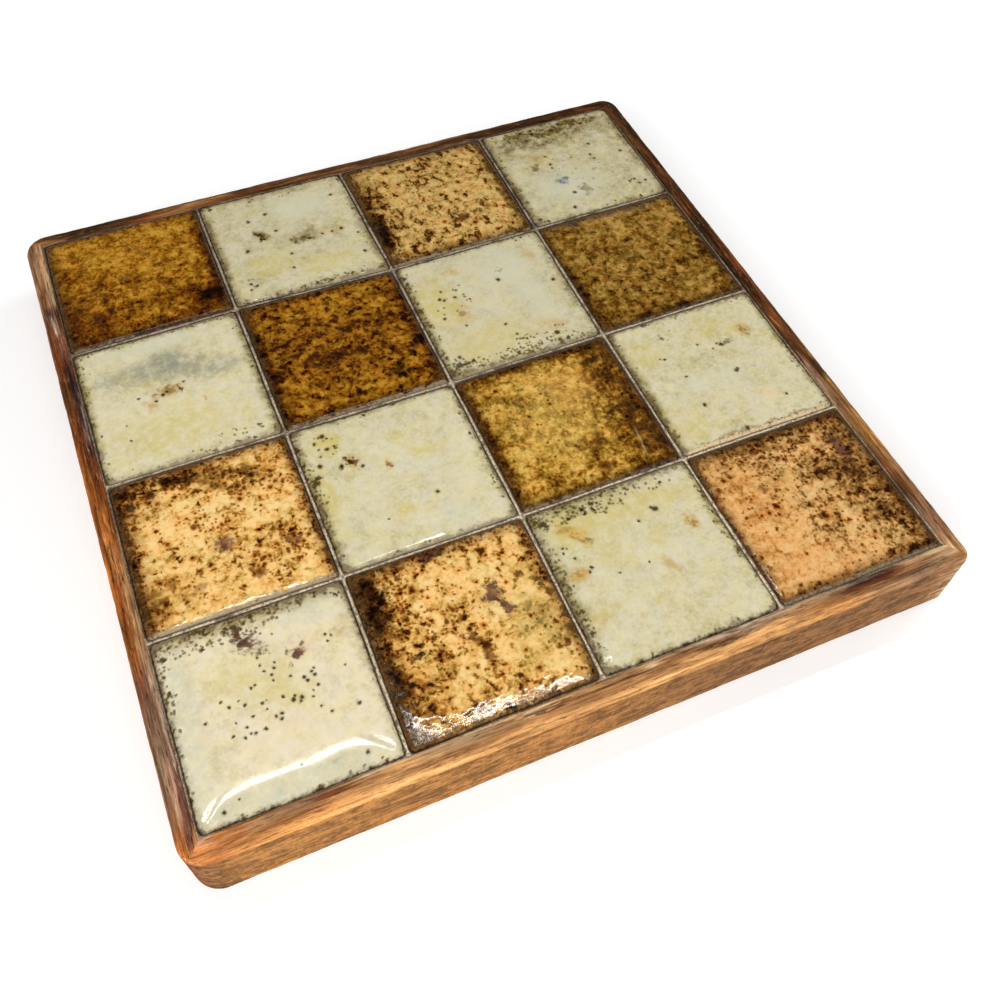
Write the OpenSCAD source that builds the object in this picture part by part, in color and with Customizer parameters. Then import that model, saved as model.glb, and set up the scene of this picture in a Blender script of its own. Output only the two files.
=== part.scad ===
// Tile-topped trivet: hand-made glazed tiles set in grout on a board, inside a mitred wooden frame.
// Millimetres, Z up. It stands on Z = 0 with the origin under its middle, and its front faces -Y.

/* [Trivet] */
// Width of the whole trivet, left to right
trivet_w = 209; // [150:0.5:300]
// Depth of the whole trivet, front to back
trivet_d = 212.6; // [150:0.1:300]

/* [Tile field] */
// Tiles from left to right
tile_columns = 4; // [2:1:6]
// Tiles from front to back
tile_rows = 4; // [2:1:6]
// Width of the grout joint between two tiles
joint_w = 1; // [0.8:0.1:2.5]
// How far the grout lies below the top of the frame
grout_drop = 0.4; // [0.2:0.1:1]

/* [Tile] */
// Radius of a tile's upright corners
tile_corner_r = 1.3; // [1:0.1:6]
// Rounding of a tile's top edge
tile_edge_r = 1; // [0.4:0.1:1.6]
// How far the glaze swells from a tile's edge to its middle
crown_h = 0.6; // [0.2:0.1:1.2]
// How far the middle of the highest tile stands above the frame
crown_proud = 0.6; // [0:0.1:1.5]
// How much lower than that the lowest tile sits
tile_lift = 0.3; // [0:0.05:0.5]
// How far a tile's hand-cut edge wanders from straight
edge_wobble = 0.2; // [0:0.05:0.3]

/* [Frame] */
// Height of the wooden frame
frame_h = 20; // [17:0.5:30]
// Width of the left and right strips
side_strip_w = 4.9; // [4.2:0.1:12]
// Width of the front strip
front_strip_w = 6.2; // [4.2:0.1:12]
// Width of the back strip
back_strip_w = 4.4; // [4.2:0.1:12]
// Radius of the frame's upright outer corners, before each one's own share
frame_corner_r = 6.5; // [4:0.5:8]
// Rounding of the frame's top outer edge
top_arris_r = 1.3; // [0.4:0.1:1.8]
// Rounding of the frame's bottom outer edge
foot_arris_r = 0.8; // [0.3:0.1:1.5]

/* [Board and bed] */
// Thickness of the base board
board_t = 9; // [4:0.5:11]
// Thickness of the tile adhesive on the board
bed_t = 1.5; // [0.5:0.1:2.5]

/* [Hidden] */
$fn = 64;

// The opening in the frame and its four sides
field_w = trivet_w - 2 * side_strip_w;
field_d = trivet_d - front_strip_w - back_strip_w;
field_left = -field_w / 2;
field_right = field_w / 2;
field_front = -trivet_d / 2 + front_strip_w;
field_back = trivet_d / 2 - back_strip_w;

// Distances between the joints, left to right and front to back
pitch_x = field_w / tile_columns;
pitch_y = field_d / tile_rows;

// Heights above the table
tile_foot_z = board_t + bed_t;
tile_top_z = frame_h + crown_proud;
grout_top_z = frame_h - grout_drop;

// The joints were set by eye. Each row here is one joint line, from the front of the trivet to its
// back, and gives how far every crossing on it lies off the even grid, as shares of the pitch.
cross_x_shares = [
    [0, -0.012, -0.014, -0.002, 0],
    [0, 0.002, 0.004, -0.008, 0],
    [0, 0.006, 0, -0.006, 0],
    [0, -0.002, 0.004, 0.004, 0],
    [0, 0, -0.018, 0.018, 0]
];
cross_y_shares = [
    [0, 0, 0, 0, 0],
    [0.014, 0.012, 0.006, 0.012, 0.016],
    [0, 0, -0.01, 0.012, 0.014],
    [0.004, 0.024, -0.006, 0.006, 0.018],
    [0, 0, 0, 0, 0]
];

// Points on each rounded corner of a tile and between two corners, and the rings of its crown
corner_steps = 4;
side_steps = 5;
edge_ring_shares = [0, 1 / 3, 2 / 3, 1];
crown_ring_shares = [0.86, 0.6, 0.3];

// A tile's edge wanders in slow and quick waves, and each tile starts them at another angle.
slow_waves = 3;
quick_waves = 7;
slow_wave_share = 0.6;
turn_per_tile = 137.5;

// The frame's corners were rounded by hand, each to another share of the radius: front left, front
// right, back right, back left
corner_r_shares = [1.1, 0.6, 0.85, 1.1];

// How far the cutting prism of a mitre reaches past the frame, as a share of the strip's width
mitre_reach_share = 1.5;

function tile_name(row, col) = str("tile_r", row + 1, "_c", col + 1);

function tile_turn(row, col) = turn_per_tile * (row * tile_columns + col);

function shift_share(table, row, col) =
    table[row == tile_rows ? len(table) - 1 : row % (len(table) - 1)]
         [col == tile_columns ? len(table[0]) - 1 : col % (len(table[0]) - 1)];

// Where two joints cross. The joints along the frame stay straight.
function crossing(row, col) = [
    field_left + (col + shift_share(cross_x_shares, row, col)) * pitch_x,
    field_front + (row + shift_share(cross_y_shares, row, col)) * pitch_y
];

function mix(a, b, share) = a + (b - a) * share;

// A place in one cell of the joint grid, from shares of its width and depth
function in_cell(row, col, share_x, share_y) = mix(
    mix(crossing(row, col), crossing(row, col + 1), share_x),
    mix(crossing(row + 1, col), crossing(row + 1, col + 1), share_x),
    share_y
);

function wave(angle, turn) =
    slow_wave_share * sin(slow_waves * angle + turn) +
    (1 - slow_wave_share) * sin(quick_waves * angle + 2 * turn);

// The outline of a tile about its own middle: four rounded corners with wandering sides between
half_w = (pitch_x - joint_w) / 2;
half_d = (pitch_y - joint_w) / 2;
corner_signs = [[1, 1], [-1, 1], [-1, -1], [1, -1]];

function corner_point(k, step) =
    let (angle = 90 * (k + step / corner_steps))
    [
        corner_signs[k].x * (half_w - tile_corner_r) + tile_corner_r * cos(angle),
        corner_signs[k].y * (half_d - tile_corner_r) + tile_corner_r * sin(angle)
    ];

function plain_outline() = [
    for (k = [0 : 3])
        for (step = [0 : corner_steps + side_steps - 1])
            step <= corner_steps
                ? corner_point(k, step)
                : mix(corner_point(k, corner_steps), corner_point((k + 1) % 4, 0),
                      (step - corner_steps) / side_steps)
];

function tile_outline(row, col) = [
    for (p = plain_outline())
        let (
            angle = atan2(p.y, p.x),
            grown = 1 + edge_wobble * wave(angle, tile_turn(row, col)) / norm(p)
        )
        in_cell(row, col, 0.5 + grown * p.x / pitch_x, 0.5 + grown * p.y / pitch_y)
];

// A tile is lofted through rings of its outline: each gives the share of the outline and the height.
function tile_rings(top_z) =
    let (shoulder_z = top_z - crown_h - tile_edge_r)
    concat(
        [[1, tile_foot_z]],
        [
            for (share = edge_ring_shares)
                [
                    1 - tile_edge_r * (1 - cos(90 * share)) / half_w,
                    shoulder_z + tile_edge_r * sin(90 * share)
                ]
        ],
        [for (share = crown_ring_shares) [share, top_z - crown_h * pow(share, 4)]]
    );

module tile(row, col) {
    outline = tile_outline(row, col);
    middle = in_cell(row, col, 0.5, 0.5);
    top_z = tile_top_z - tile_lift * (1 + sin(tile_turn(row, col))) / 2;
    rings = tile_rings(top_z);
    count = len(outline);
    last = len(rings) - 1;
    points = concat(
        [for (ring = rings) for (p = outline) [each mix(middle, p, ring[0]), ring[1]]],
        [[each middle, tile_foot_z], [each middle, top_z]]
    );
    foot_middle = count * len(rings);
    top_middle = foot_middle + 1;
    faces = concat(
        [for (k = [0 : count - 1]) [foot_middle, k, (k + 1) % count]],
        [
            for (ring = [0 : last - 1])
                for (k = [0 : count - 1])
                    let (
                        a = ring * count + k,
                        b = ring * count + (k + 1) % count
                    )
                    each [[a, a + count, b + count], [a, b + count, b]]
        ],
        [for (k = [0 : count - 1]) [top_middle, last * count + (k + 1) % count, last * count + k]]
    );
    color((row + col) % 2 == 0 ? "#d3d5b4" : "#a8742c")
        polyhedron(points, faces, convexity = 2);
}

// The grout fills every joint, up to the walls of the tiles and of the frame.
module grout() {
    color("#8f887a")
        translate([0, 0, tile_foot_z])
            linear_extrude(grout_top_z - tile_foot_z)
                difference() {
                    field_outline();
                    for (row = [0 : tile_rows - 1])
                        for (col = [0 : tile_columns - 1])
                            polygon(tile_outline(row, col));
                }
}

module field_outline() {
    translate([field_left, field_front])
        square([field_w, field_d]);
}

module tile_adhesive() {
    color("#b9b2a3")
        translate([0, 0, board_t])
            linear_extrude(bed_t)
                field_outline();
}

module base_board() {
    color("#a9825a")
        linear_extrude(board_t)
            field_outline();
}

// Half the section of a slab with its outer edges rounded, out to the given reach from the middle
module edge_section(reach) {
    square([reach - top_arris_r, frame_h]);
    square([reach - foot_arris_r, frame_h / 2]);
    translate([0, foot_arris_r])
        square([reach, frame_h - top_arris_r - foot_arris_r]);
    translate([reach - top_arris_r, frame_h - top_arris_r])
        circle(top_arris_r);
    translate([reach - foot_arris_r, foot_arris_r])
        circle(foot_arris_r);
}

// One straight length of the slab's edge, facing +X, centred on the X axis
module straight_edge(reach, length) {
    rotate([90, 0, 0])
        linear_extrude(length, center = true)
            edge_section(reach);
}

module rounded_corner(radius) {
    rotate_extrude(angle = 90)
        edge_section(radius);
}

function corner_r(corner) = frame_corner_r * corner_r_shares[corner % 4];

// One side of the slab, out to the given reach from the middle, with the corner at its right end,
// as seen from outside
module slab_side(side, reach, length) {
    left_r = corner_r(side);
    right_r = corner_r(side + 1);
    rotate([0, 0, 90 * side]) {
        translate([(left_r - right_r) / 2, 0, 0])
            rotate([0, 0, -90])
                straight_edge(reach, length - left_r - right_r);
        translate([length / 2 - right_r, right_r - reach, 0])
            rotate([0, 0, -90])
                rounded_corner(right_r);
    }
}

// The outside of the frame as one solid slab, with upright corners and both edges rounded
module frame_slab() {
    for (side = [0, 2]) {
        slab_side(side, trivet_d / 2, trivet_w);
        slab_side(side + 1, trivet_w / 2, trivet_d);
    }
}

// The corners of the opening and of the frame, in step with the names of the sides
inner_corners = [
    [field_left, field_front], [field_right, field_front],
    [field_right, field_back], [field_left, field_back]
];
outer_corners = [
    [-trivet_w / 2, -trivet_d / 2], [trivet_w / 2, -trivet_d / 2],
    [trivet_w / 2, trivet_d / 2], [-trivet_w / 2, trivet_d / 2]
];

// One strip of the frame, cut from the slab between the mitres of its two corners
module strip(side) {
    next = (side + 1) % 4;
    difference() {
        intersection() {
            frame_slab();
            linear_extrude(frame_h)
                polygon([
                    inner_corners[side],
                    mix(inner_corners[side], outer_corners[side], mitre_reach_share),
                    mix(inner_corners[next], outer_corners[next], mitre_reach_share),
                    inner_corners[next]
                ]);
        }
        linear_extrude(frame_h)
            field_outline();
    }
}

module frame_front() { color("#b9763c") strip(0); }
module frame_right() { color("#9a5f36") strip(1); }
module frame_back() { color("#7a4526") strip(2); }
module frame_left() { color("#8a5030") strip(3); }

for (row = [0 : tile_rows - 1])
    for (col = [0 : tile_columns - 1])
        tile(row, col);
frame_front();
frame_right();
frame_back();
frame_left();
grout();
tile_adhesive();
base_board();
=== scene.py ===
"""Builds the looks of a tile-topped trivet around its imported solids.

Sixteen hand-made glazed tiles, the grout between them and the four strips of the wooden frame are
modelled here, each inside its own solid. The base board and the bed of tile adhesive keep their
solids and get materials. Lengths are in metres, X runs to the right and Y to the back.
"""
import math
from types import SimpleNamespace

import bmesh
import bpy
import numpy as np
from mathutils import Matrix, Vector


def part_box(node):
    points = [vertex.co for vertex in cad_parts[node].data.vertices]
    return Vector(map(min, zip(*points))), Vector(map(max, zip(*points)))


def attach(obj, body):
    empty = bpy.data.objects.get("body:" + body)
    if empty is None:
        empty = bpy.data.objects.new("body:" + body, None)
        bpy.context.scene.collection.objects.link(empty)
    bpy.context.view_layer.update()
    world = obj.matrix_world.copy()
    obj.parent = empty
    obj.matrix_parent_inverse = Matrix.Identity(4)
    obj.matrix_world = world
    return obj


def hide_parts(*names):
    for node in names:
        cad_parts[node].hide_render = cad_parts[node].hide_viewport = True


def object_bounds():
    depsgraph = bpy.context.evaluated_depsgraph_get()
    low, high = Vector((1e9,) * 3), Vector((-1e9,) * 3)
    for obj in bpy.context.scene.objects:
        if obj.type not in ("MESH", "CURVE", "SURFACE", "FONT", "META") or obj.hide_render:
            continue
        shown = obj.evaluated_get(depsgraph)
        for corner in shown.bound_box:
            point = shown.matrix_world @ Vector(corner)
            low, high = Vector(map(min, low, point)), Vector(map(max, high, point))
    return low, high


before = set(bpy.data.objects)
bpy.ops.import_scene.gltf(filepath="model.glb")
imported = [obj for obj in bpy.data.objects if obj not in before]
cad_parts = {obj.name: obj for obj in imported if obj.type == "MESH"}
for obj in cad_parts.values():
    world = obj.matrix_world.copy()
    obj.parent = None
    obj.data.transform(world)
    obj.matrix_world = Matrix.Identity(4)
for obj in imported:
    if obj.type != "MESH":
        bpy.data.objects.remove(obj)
CAD_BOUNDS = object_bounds()

bl_info = {
    "name": "Tile-topped trivet",
    "version": (1, 0, 0),
    "blender": (4, 5, 0),
    "location": "3D View > Sidebar > Trivet",
    "description": "Glazed tiles, grout and wooden frame of a square table trivet",
    "category": "Object",
}

BODY = "root"
MM = 0.001
TINY = 1e-5
HALF = (0.5, 0.5, 0.5)
WHITE = (1, 1, 1, 1)
PLACE_UV = "place"
COLUMNS = 4
ROWS = 4
SIDES = ("front", "right", "back", "left")


def tint(red, green, blue):
    """A colour given as a screen shows it, from 0 to 255, in the linear values that shaders use."""
    linear = []
    for value in (red, green, blue):
        share = value / 255
        linear.append(share / 12.92 if share <= 0.04045 else ((share + 0.055) / 1.055) ** 2.4)
    return tuple(linear)


# Colours in the glaze beside its own tone: label, colour, what it is
GLAZE_COLOURS = {
    "straw": ("Straw", tint(212, 192, 110), "Yellower pools in the pale glaze"),
    "ice": ("Ice", tint(212, 214, 190), "Cool grey-white pools in the pale glaze"),
    "peach": ("Peach", tint(236, 204, 158), "Warm blush"),
    "ochre": ("Ochre", tint(198, 156, 78), "Ochre blooms"),
    "flame": ("Flame", tint(236, 160, 84), "Orange glow in the amber glaze"),
    "olive": ("Olive", tint(114, 94, 40), "Olive feathering and halos"),
    "umber": ("Umber", tint(98, 66, 32), "Brown that breaks through"),
    "iron": ("Iron", tint(42, 32, 16), "Near-black iron spots"),
    "plum": ("Plum", tint(104, 64, 54), "Purple-brown iron flecks"),
    "rust": ("Rust", tint(124, 74, 32), "Rusty flecks"),
    # Along the tiles' front lips the stone colour is partly bare clay and partly a painted sheen
    "stone": ("Stone", tint(164, 150, 122), "Bare clay below the glaze's lip"),
    "slate": ("Slate", tint(136, 138, 122), "Grey smudges"),
    "smoke": ("Smoke", tint(118, 134, 140), "A blue-grey spot"),
}
WOOD_COLOURS = {
    "gold": ("Gold", tint(226, 166, 104), "Lightest oiled wood"),
    "orange": ("Orange", tint(214, 148, 86), "Oiled orange wood"),
    "ember": ("Ember", tint(204, 130, 74), "Reddest oiled wood"),
    "burnt": ("Burnt orange", tint(154, 88, 36), "Dark orange wood"),
    "tan": ("Tan", tint(178, 134, 90), "Bare tan wood"),
    "fawn": ("Fawn", tint(142, 110, 84), "Dull pinkish wood"),
    "sawn": ("Sawn", tint(166, 114, 60), "Rough-sawn wood of the faces"),
    "brown": ("Brown", tint(134, 92, 52), "Weathered brown wood"),
    "earth": ("Earth", tint(80, 51, 26), "Dark brown wood"),
    "deep": ("Deep brown", tint(54, 33, 14), "Darkest brown wood"),
    "pale": ("Pale", tint(216, 184, 138), "Light new wood"),
    "rust": ("Rust", tint(122, 64, 30), "Red-brown stain"),
    "mauve": ("Mauve", tint(112, 76, 62), "Mauve-brown stain"),
    "dark": ("Dark", tint(36, 20, 10), "Darkest grain"),
    "purple": ("Purple", tint(56, 36, 32), "Old purple-brown stain"),
    "smear": ("Smear", tint(210, 188, 162), "Grout smeared on the wood"),
}


def colour_property(label, value, about):
    return bpy.props.FloatVectorProperty(
        name=label, description=about, default=value, size=3, min=0, max=1, subtype="COLOR")


def length_property(label, value, about, high=0.01):
    return bpy.props.FloatProperty(
        name=label, description=about, default=value, min=0, max=high,
        precision=5, subtype="DISTANCE", unit="LENGTH")


def plain_property(label, value, about, low=0.0, high=5.0):
    return bpy.props.FloatProperty(
        name=label, description=about, default=value, min=low, max=high)


class TileSettings(bpy.types.PropertyGroup):
    edge_width: length_property("Edge width", 1.5 * MM, "Width of the rounding at a tile's rim")
    edge_drop: length_property("Edge drop", 1.0 * MM, "Height of the rounding at a tile's rim")
    crown: length_property("Crown", 0.6 * MM, "Rise of the glaze from the rim to the middle")
    swell: length_property("Swell", 0.07 * MM, "Height of the slow waves in the glaze")
    swell_size: length_property("Swell size", 9.0 * MM, "Width of the slow waves in the glaze", 0.05)
    ripple: length_property("Ripple", 0.45 * MM, "Height of the ripples where the glaze is broken")
    pit_depth: length_property("Pit depth", 0.25 * MM, "Depth of the pits along the rim")
    pit_size: length_property("Pit size", 0.85 * MM, "Width of the pits along the rim")
    pit_band: length_property("Pitted band", 1.5 * MM, "How far from the rim the pits reach")
    halo: colour_property("Halo", (0.66, 0.42, 0.16), "Stain round the spots in the amber glaze")
    spot: colour_property("Spot", (0.15, 0.065, 0.025), "Stain of the spots in the amber glaze")
    thickness: plain_property("Thickness", 0.0, "Added to the glaze's tone, browner above 0", -0.3, 0.3)
    mottle: plain_property("Mottle", 1.0, "Strength of the glaze's fine mottling")
    half_steps: bpy.props.IntProperty(
        name="Half steps", description="Faces from a tile's middle to its rim",
        default=70, min=8, max=120)


class GroutSettings(bpy.types.PropertyGroup):
    light: colour_property("Grout", tint(220, 202, 172), "Colour of the clean grout")
    # Painted light and shade: the grout is made lighter than its own colour at the front and darker at
    # the back
    front_painted_light: plain_property("Front tone", 1.40, "How light the grout is at the front")
    back_painted_shade: plain_property("Back tone", 0.56, "How light the grout is at the back")
    # Colour of the grout's stains, and of the painted shade in the crevice where a joint meets a tile's
    # wall
    dirt_and_shade: colour_property("Dirt in the grout", tint(66, 50, 34), "Colour of the grout's stains")
    unevenness: length_property("Unevenness", 0.16 * MM, "Height of the lumps in the grout")
    hollow: length_property("Hollow", 0.10 * MM, "How far the middle of a joint sinks")


class FrameSettings(bpy.types.PropertyGroup):
    wear: length_property("Wear", 0.12 * MM, "Depth of the dents and the worn arrises")
    grain: length_property("Grain", 0.85 * MM, "Width of the wood's grain lines")


class UndersideSettings(bpy.types.PropertyGroup):
    ply: colour_property("Board", tint(196, 160, 112), "Colour of the base board")
    ply_grain: colour_property("Board grain", tint(148, 108, 66), "Colour of the board's grain")
    adhesive: colour_property("Adhesive", tint(188, 182, 168), "Colour of the tile adhesive")


class StageSettings(bpy.types.PropertyGroup):
    floor: colour_property("Floor", (0.90, 0.90, 0.90), "Colour of the floor")
    floor_glow: plain_property("Floor glow", 0.22, "Light that the overexposed floor gives off")
    sky: plain_property("Room light", 0.68, "Strength of the even light all round")
    strip_power: bpy.props.FloatProperty(
        name="Strip light", description="Power of the narrow light that draws the thin highlights",
        default=1.6, min=0, max=200, subtype="POWER", unit="POWER")
    key_power: bpy.props.FloatProperty(
        name="Key light", description="Power of the broad light low on the right",
        default=9.2, min=0, max=200, subtype="POWER", unit="POWER")
    fill_power: bpy.props.FloatProperty(
        name="Fill light", description="Power of the broad light on the left, in front",
        default=5.3, min=0, max=200, subtype="POWER", unit="POWER")


for colour_table, owner in ((GLAZE_COLOURS, TileSettings), (WOOD_COLOURS, FrameSettings)):
    for colour_name, colour_entry in colour_table.items():
        owner.__annotations__[colour_name] = colour_property(*colour_entry)


class Graph:
    """A node tree, with short calls for what the materials and the tile tree share."""

    def __init__(self, tree):
        self.tree = tree

    def add(self, kind, values=(), **settings):
        """Adds a node with its settings, and sets its inputs or links them to sockets."""
        made = self.tree.nodes.new(kind)
        for name, value in settings.items():
            setattr(made, name, value)
        for key, value in dict(values).items():
            if isinstance(value, bpy.types.NodeSocket):
                self.tree.links.new(value, made.inputs[key])
            else:
                made.inputs[key].default_value = value
        return made

    def math(self, operation, first, second=0.0, third=0.0, clamp=False):
        values = {0: first, 1: second, 2: third}
        return self.add("ShaderNodeMath", values, operation=operation, use_clamp=clamp).outputs[0]

    def about(self, value, strength, base=0.0):
        """The base, moved by how far the value is from a half, times the strength."""
        return self.math("MULTIPLY_ADD", self.math("SUBTRACT", value, 0.5), strength, base)

    def vector(self, operation, first, second=(0, 0, 0), third=(0, 0, 0)):
        values = {0: first, 1: second, 2: third}
        return self.add("ShaderNodeVectorMath", values, operation=operation).outputs[0]

    def scaled(self, colour, factor):
        return self.add("ShaderNodeVectorMath", {0: colour, 3: factor}, operation="SCALE").outputs[0]

    def span(self, value, low, high, start=0.0, end=1.0, kind="SMOOTHSTEP"):
        """The value's way from low to high, as a number from start to end."""
        values = {"Value": value, "From Min": low, "From Max": high, "To Min": start, "To Max": end}
        return self.add("ShaderNodeMapRange", values, interpolation_type=kind).outputs[0]

    def mix(self, share, first, second, blend="MIX"):
        values = {0: share, 6: first, 7: second}
        return self.add("ShaderNodeMix", values, data_type="RGBA", blend_type=blend).outputs[2]

    def ramp(self, value, stops):
        """A colour ramp through the given places and colours."""
        made = self.add("ShaderNodeValToRGB", {0: value})
        steps = made.color_ramp.elements
        for k, (at, colour) in enumerate(stops):
            step = steps[k] if k < 2 else steps.new(at)
            step.position = at
            step.color = opaque(colour)
        return made.outputs[0]

    def noise(self, place, size, detail=2.0, rough=0.5, bend=0.0, colour=False):
        """Noise whose lumps have about the given size in metres."""
        values = {"Vector": place, "Scale": 1 / size, "Detail": detail,
                  "Roughness": rough, "Distortion": bend}
        return self.add("ShaderNodeTexNoise", values).outputs[1 if colour else 0]

    def wobble(self, place, size, detail=2.0, rough=0.5, bend=0.0):
        """Noise from -0.5 to 0.5 in each direction, to push places about with."""
        return self.vector("SUBTRACT", self.noise(place, size, detail, rough, bend, colour=True), HALF)

    def area(self, place, at, half, turn, strength, outer=1.35, inner=0.3):
        """The strength over a soft area: all of it up to the inner share of its half sizes."""
        return self.span(self.away(place, at, half, turn), outer, inner, 0, strength)

    def away(self, place, at, half, turn=0.0):
        """Distance from a spot, in shares of its half width and half depth."""
        values = {"Vector": place, "Location": (*at, 0), "Rotation": (0, 0, turn),
                  "Scale": (*half, 1)}
        moved = self.add("ShaderNodeMapping", values, vector_type="TEXTURE").outputs[0]
        return self.add("ShaderNodeVectorMath", {0: moved}, operation="LENGTH").outputs["Value"]

    def apart(self, place, spot):
        return self.add("ShaderNodeVectorMath", {0: place, 1: spot},
                        operation="DISTANCE").outputs["Value"]

    def number(self, name):
        return self.add("ShaderNodeAttribute", attribute_name=name).outputs["Fac"]


def new_material(name):
    """An empty material, its graph and the object coordinates in it."""
    material = bpy.data.materials.new(name)
    material.use_nodes = True
    material.node_tree.nodes.clear()
    g = Graph(material.node_tree)
    return material, g, g.add("ShaderNodeTexCoord").outputs["Object"]


def finish_material(g, colour, rough, height, depth, shine=0.5):
    """Ends a material in a surface with the given colour, roughness, relief and shine."""
    bump = g.add("ShaderNodeBump", {"Height": height, "Strength": 0.6, "Distance": depth})
    surface = g.add("ShaderNodeBsdfPrincipled", {
        "Base Color": colour, "Roughness": rough, "Normal": bump.outputs[0],
        "Specular IOR Level": shine})
    g.add("ShaderNodeOutputMaterial", {"Surface": surface.outputs[0]})


def opaque(colour):
    return (*colour[:3], 1)


def palette(settings, names):
    return {name: opaque(getattr(settings, name)) for name in names}


HASH_STEPS = np.array([73856093, 19349663, 83492791])
HASH_SEED = 2654435761
HASH_MIXERS = ((15, 2246822519), (13, 3266489917))
WORD = 0xFFFFFFFF


def lattice_noise(places, size, seed):
    """Smooth noise from -1 to 1 with lumps of the given size, the same on every run."""
    grid = np.asarray(places, float) / size
    cell = np.floor(grid).astype(np.int64)
    share = grid - cell
    share = share * share * (3 - 2 * share)
    total = np.zeros(len(grid))
    for corner in range(8):
        step = np.array([corner & 1, corner >> 1 & 1, corner >> 2 & 1])
        key = (((cell + step) * HASH_STEPS).sum(1) + seed * HASH_SEED) & WORD
        for shift, factor in HASH_MIXERS:
            key = ((key ^ (key >> shift)) * factor) & WORD
        value = (key ^ (key >> 16)) / 0x80000000 - 1
        total += value * np.where(step, share, 1 - share).prod(1)
    return total


def new_piece(name, points, faces, material=None):
    """A mesh object at the origin, smooth shaded, with one material."""
    mesh = bpy.data.meshes.new(name)
    mesh.from_pydata([tuple(p) for p in points], [], faces)
    mesh.validate()
    mesh.shade_smooth()
    if material:
        mesh.materials.append(material)
    piece = bpy.data.objects.new(name, mesh)
    bpy.context.scene.collection.objects.link(piece)
    return piece


def dress(piece, node):
    """Hands the finished piece over to the frame, in place of its solid."""
    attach(piece, BODY)
    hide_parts(node)


def give_number(mesh, name, values):
    layer = mesh.attributes.new(name, "FLOAT", "POINT")
    layer.data.foreach_set("value", np.asarray(values, np.float32).ravel())


def give_places(mesh, places):
    """Gives the mesh a UV map with one place for each of its points."""
    loops = np.empty(len(mesh.loops), np.int32)
    mesh.loops.foreach_get("vertex_index", loops)
    layer = mesh.uv_layers.new(name=PLACE_UV)
    layer.data.foreach_set("uv", np.asarray(places, np.float32)[loops].ravel())


def node_points(node):
    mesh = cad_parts[node].data
    points = np.empty(len(mesh.vertices) * 3, np.float32)
    mesh.vertices.foreach_get("co", points)
    return points.reshape(-1, 3).astype(float)


class TileOutline:
    """Where a tile's solid has its middle, its outline and its top."""

    def __init__(self, node):
        points = node_points(node)
        self.foot = points[:, 2].min()
        self.top = points[:, 2].max()
        ring = points[points[:, 2] < self.foot + TINY][:, :2]
        self.middle = (ring.min(0) + ring.max(0)) / 2
        self.half = (ring.max(0) - ring.min(0)) / 2
        arms = np.unique(np.round(ring - self.middle, 6), axis=0)
        # Points near the middle are inside the foot and not on its outline
        arms = arms[np.hypot(*arms.T) > 5 * MM]
        self.arms = arms[np.argsort(np.arctan2(arms[:, 1], arms[:, 0]))]

    def reach(self, angle):
        """Distance from the middle to the outline, at each of the given angles."""
        angle = (np.asarray(angle) + math.pi) % (2 * math.pi) - math.pi
        at = np.arctan2(self.arms[:, 1], self.arms[:, 0])
        k = (np.searchsorted(at, angle) - 1) % len(at)
        start = self.arms[k]
        side = self.arms[(k + 1) % len(at)] - start
        way = np.stack([np.cos(angle), np.sin(angle)], -1)
        return cross(start, side) / cross(way, side)


def cross(a, b):
    return a[..., 0] * b[..., 1] - a[..., 1] * b[..., 0]


# What a tile's recipe holds beside its kind of glaze and its bias, which is added to the tone. Places
# are shares of the tile's cell as seen from above, from its left and from its front, and so are
# sizes where no unit is given.
#   tones: soft areas that are darker, or lighter below zero: place, half sizes, turn, amount
#   washes, blots: soft and ragged coloured areas: place, half sizes, turn, colour, strength
#   specks: areas of fine dark spots: place, half sizes, turn, density
#   dots: single iron spots: place, radius
#   scratches: thin lines: place, half width, half length, turn, colour
#   margins: widths of the dark left, right, front and back margins
#   skirt: the pale foot of the front edge, partly bare clay and partly a painted sheen: depth, colour,
#       strength
#   curd, drawn: the size of the curdled lumps in millimetres and how they are squeezed
#   rough: the least roughness
#   lip: width of the rounding at the front in millimetres
#   bulge: how long the top stays level before it falls to its rims, as a power
#   swell: share of the slow waves
#   ripple: how far the broken glaze reaches from the front, and how far from the left
#   slope: a front edge that falls: its crest, the crest's scallops, its left and right end, its
#     reach, its tilt, and how the tilt grows per millimetre
#   facet: the crest, from left to right, of an area in which the camera sees the strip light
PLAIN_RECIPE = {
    "scratches": (), "skirt": (0.026, "stone", 0.55), "curd": 1.9, "drawn": (1, 1, 1),
    "rough": 0.035, "lip": 1.5, "bulge": 4, "swell": 1, "ripple": (0, 0), "slope": None,
    "facet": None,
}
TILES = {}


def tile_recipe(row, col, **recipe):
    TILES[row, col] = PLAIN_RECIPE | recipe


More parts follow.
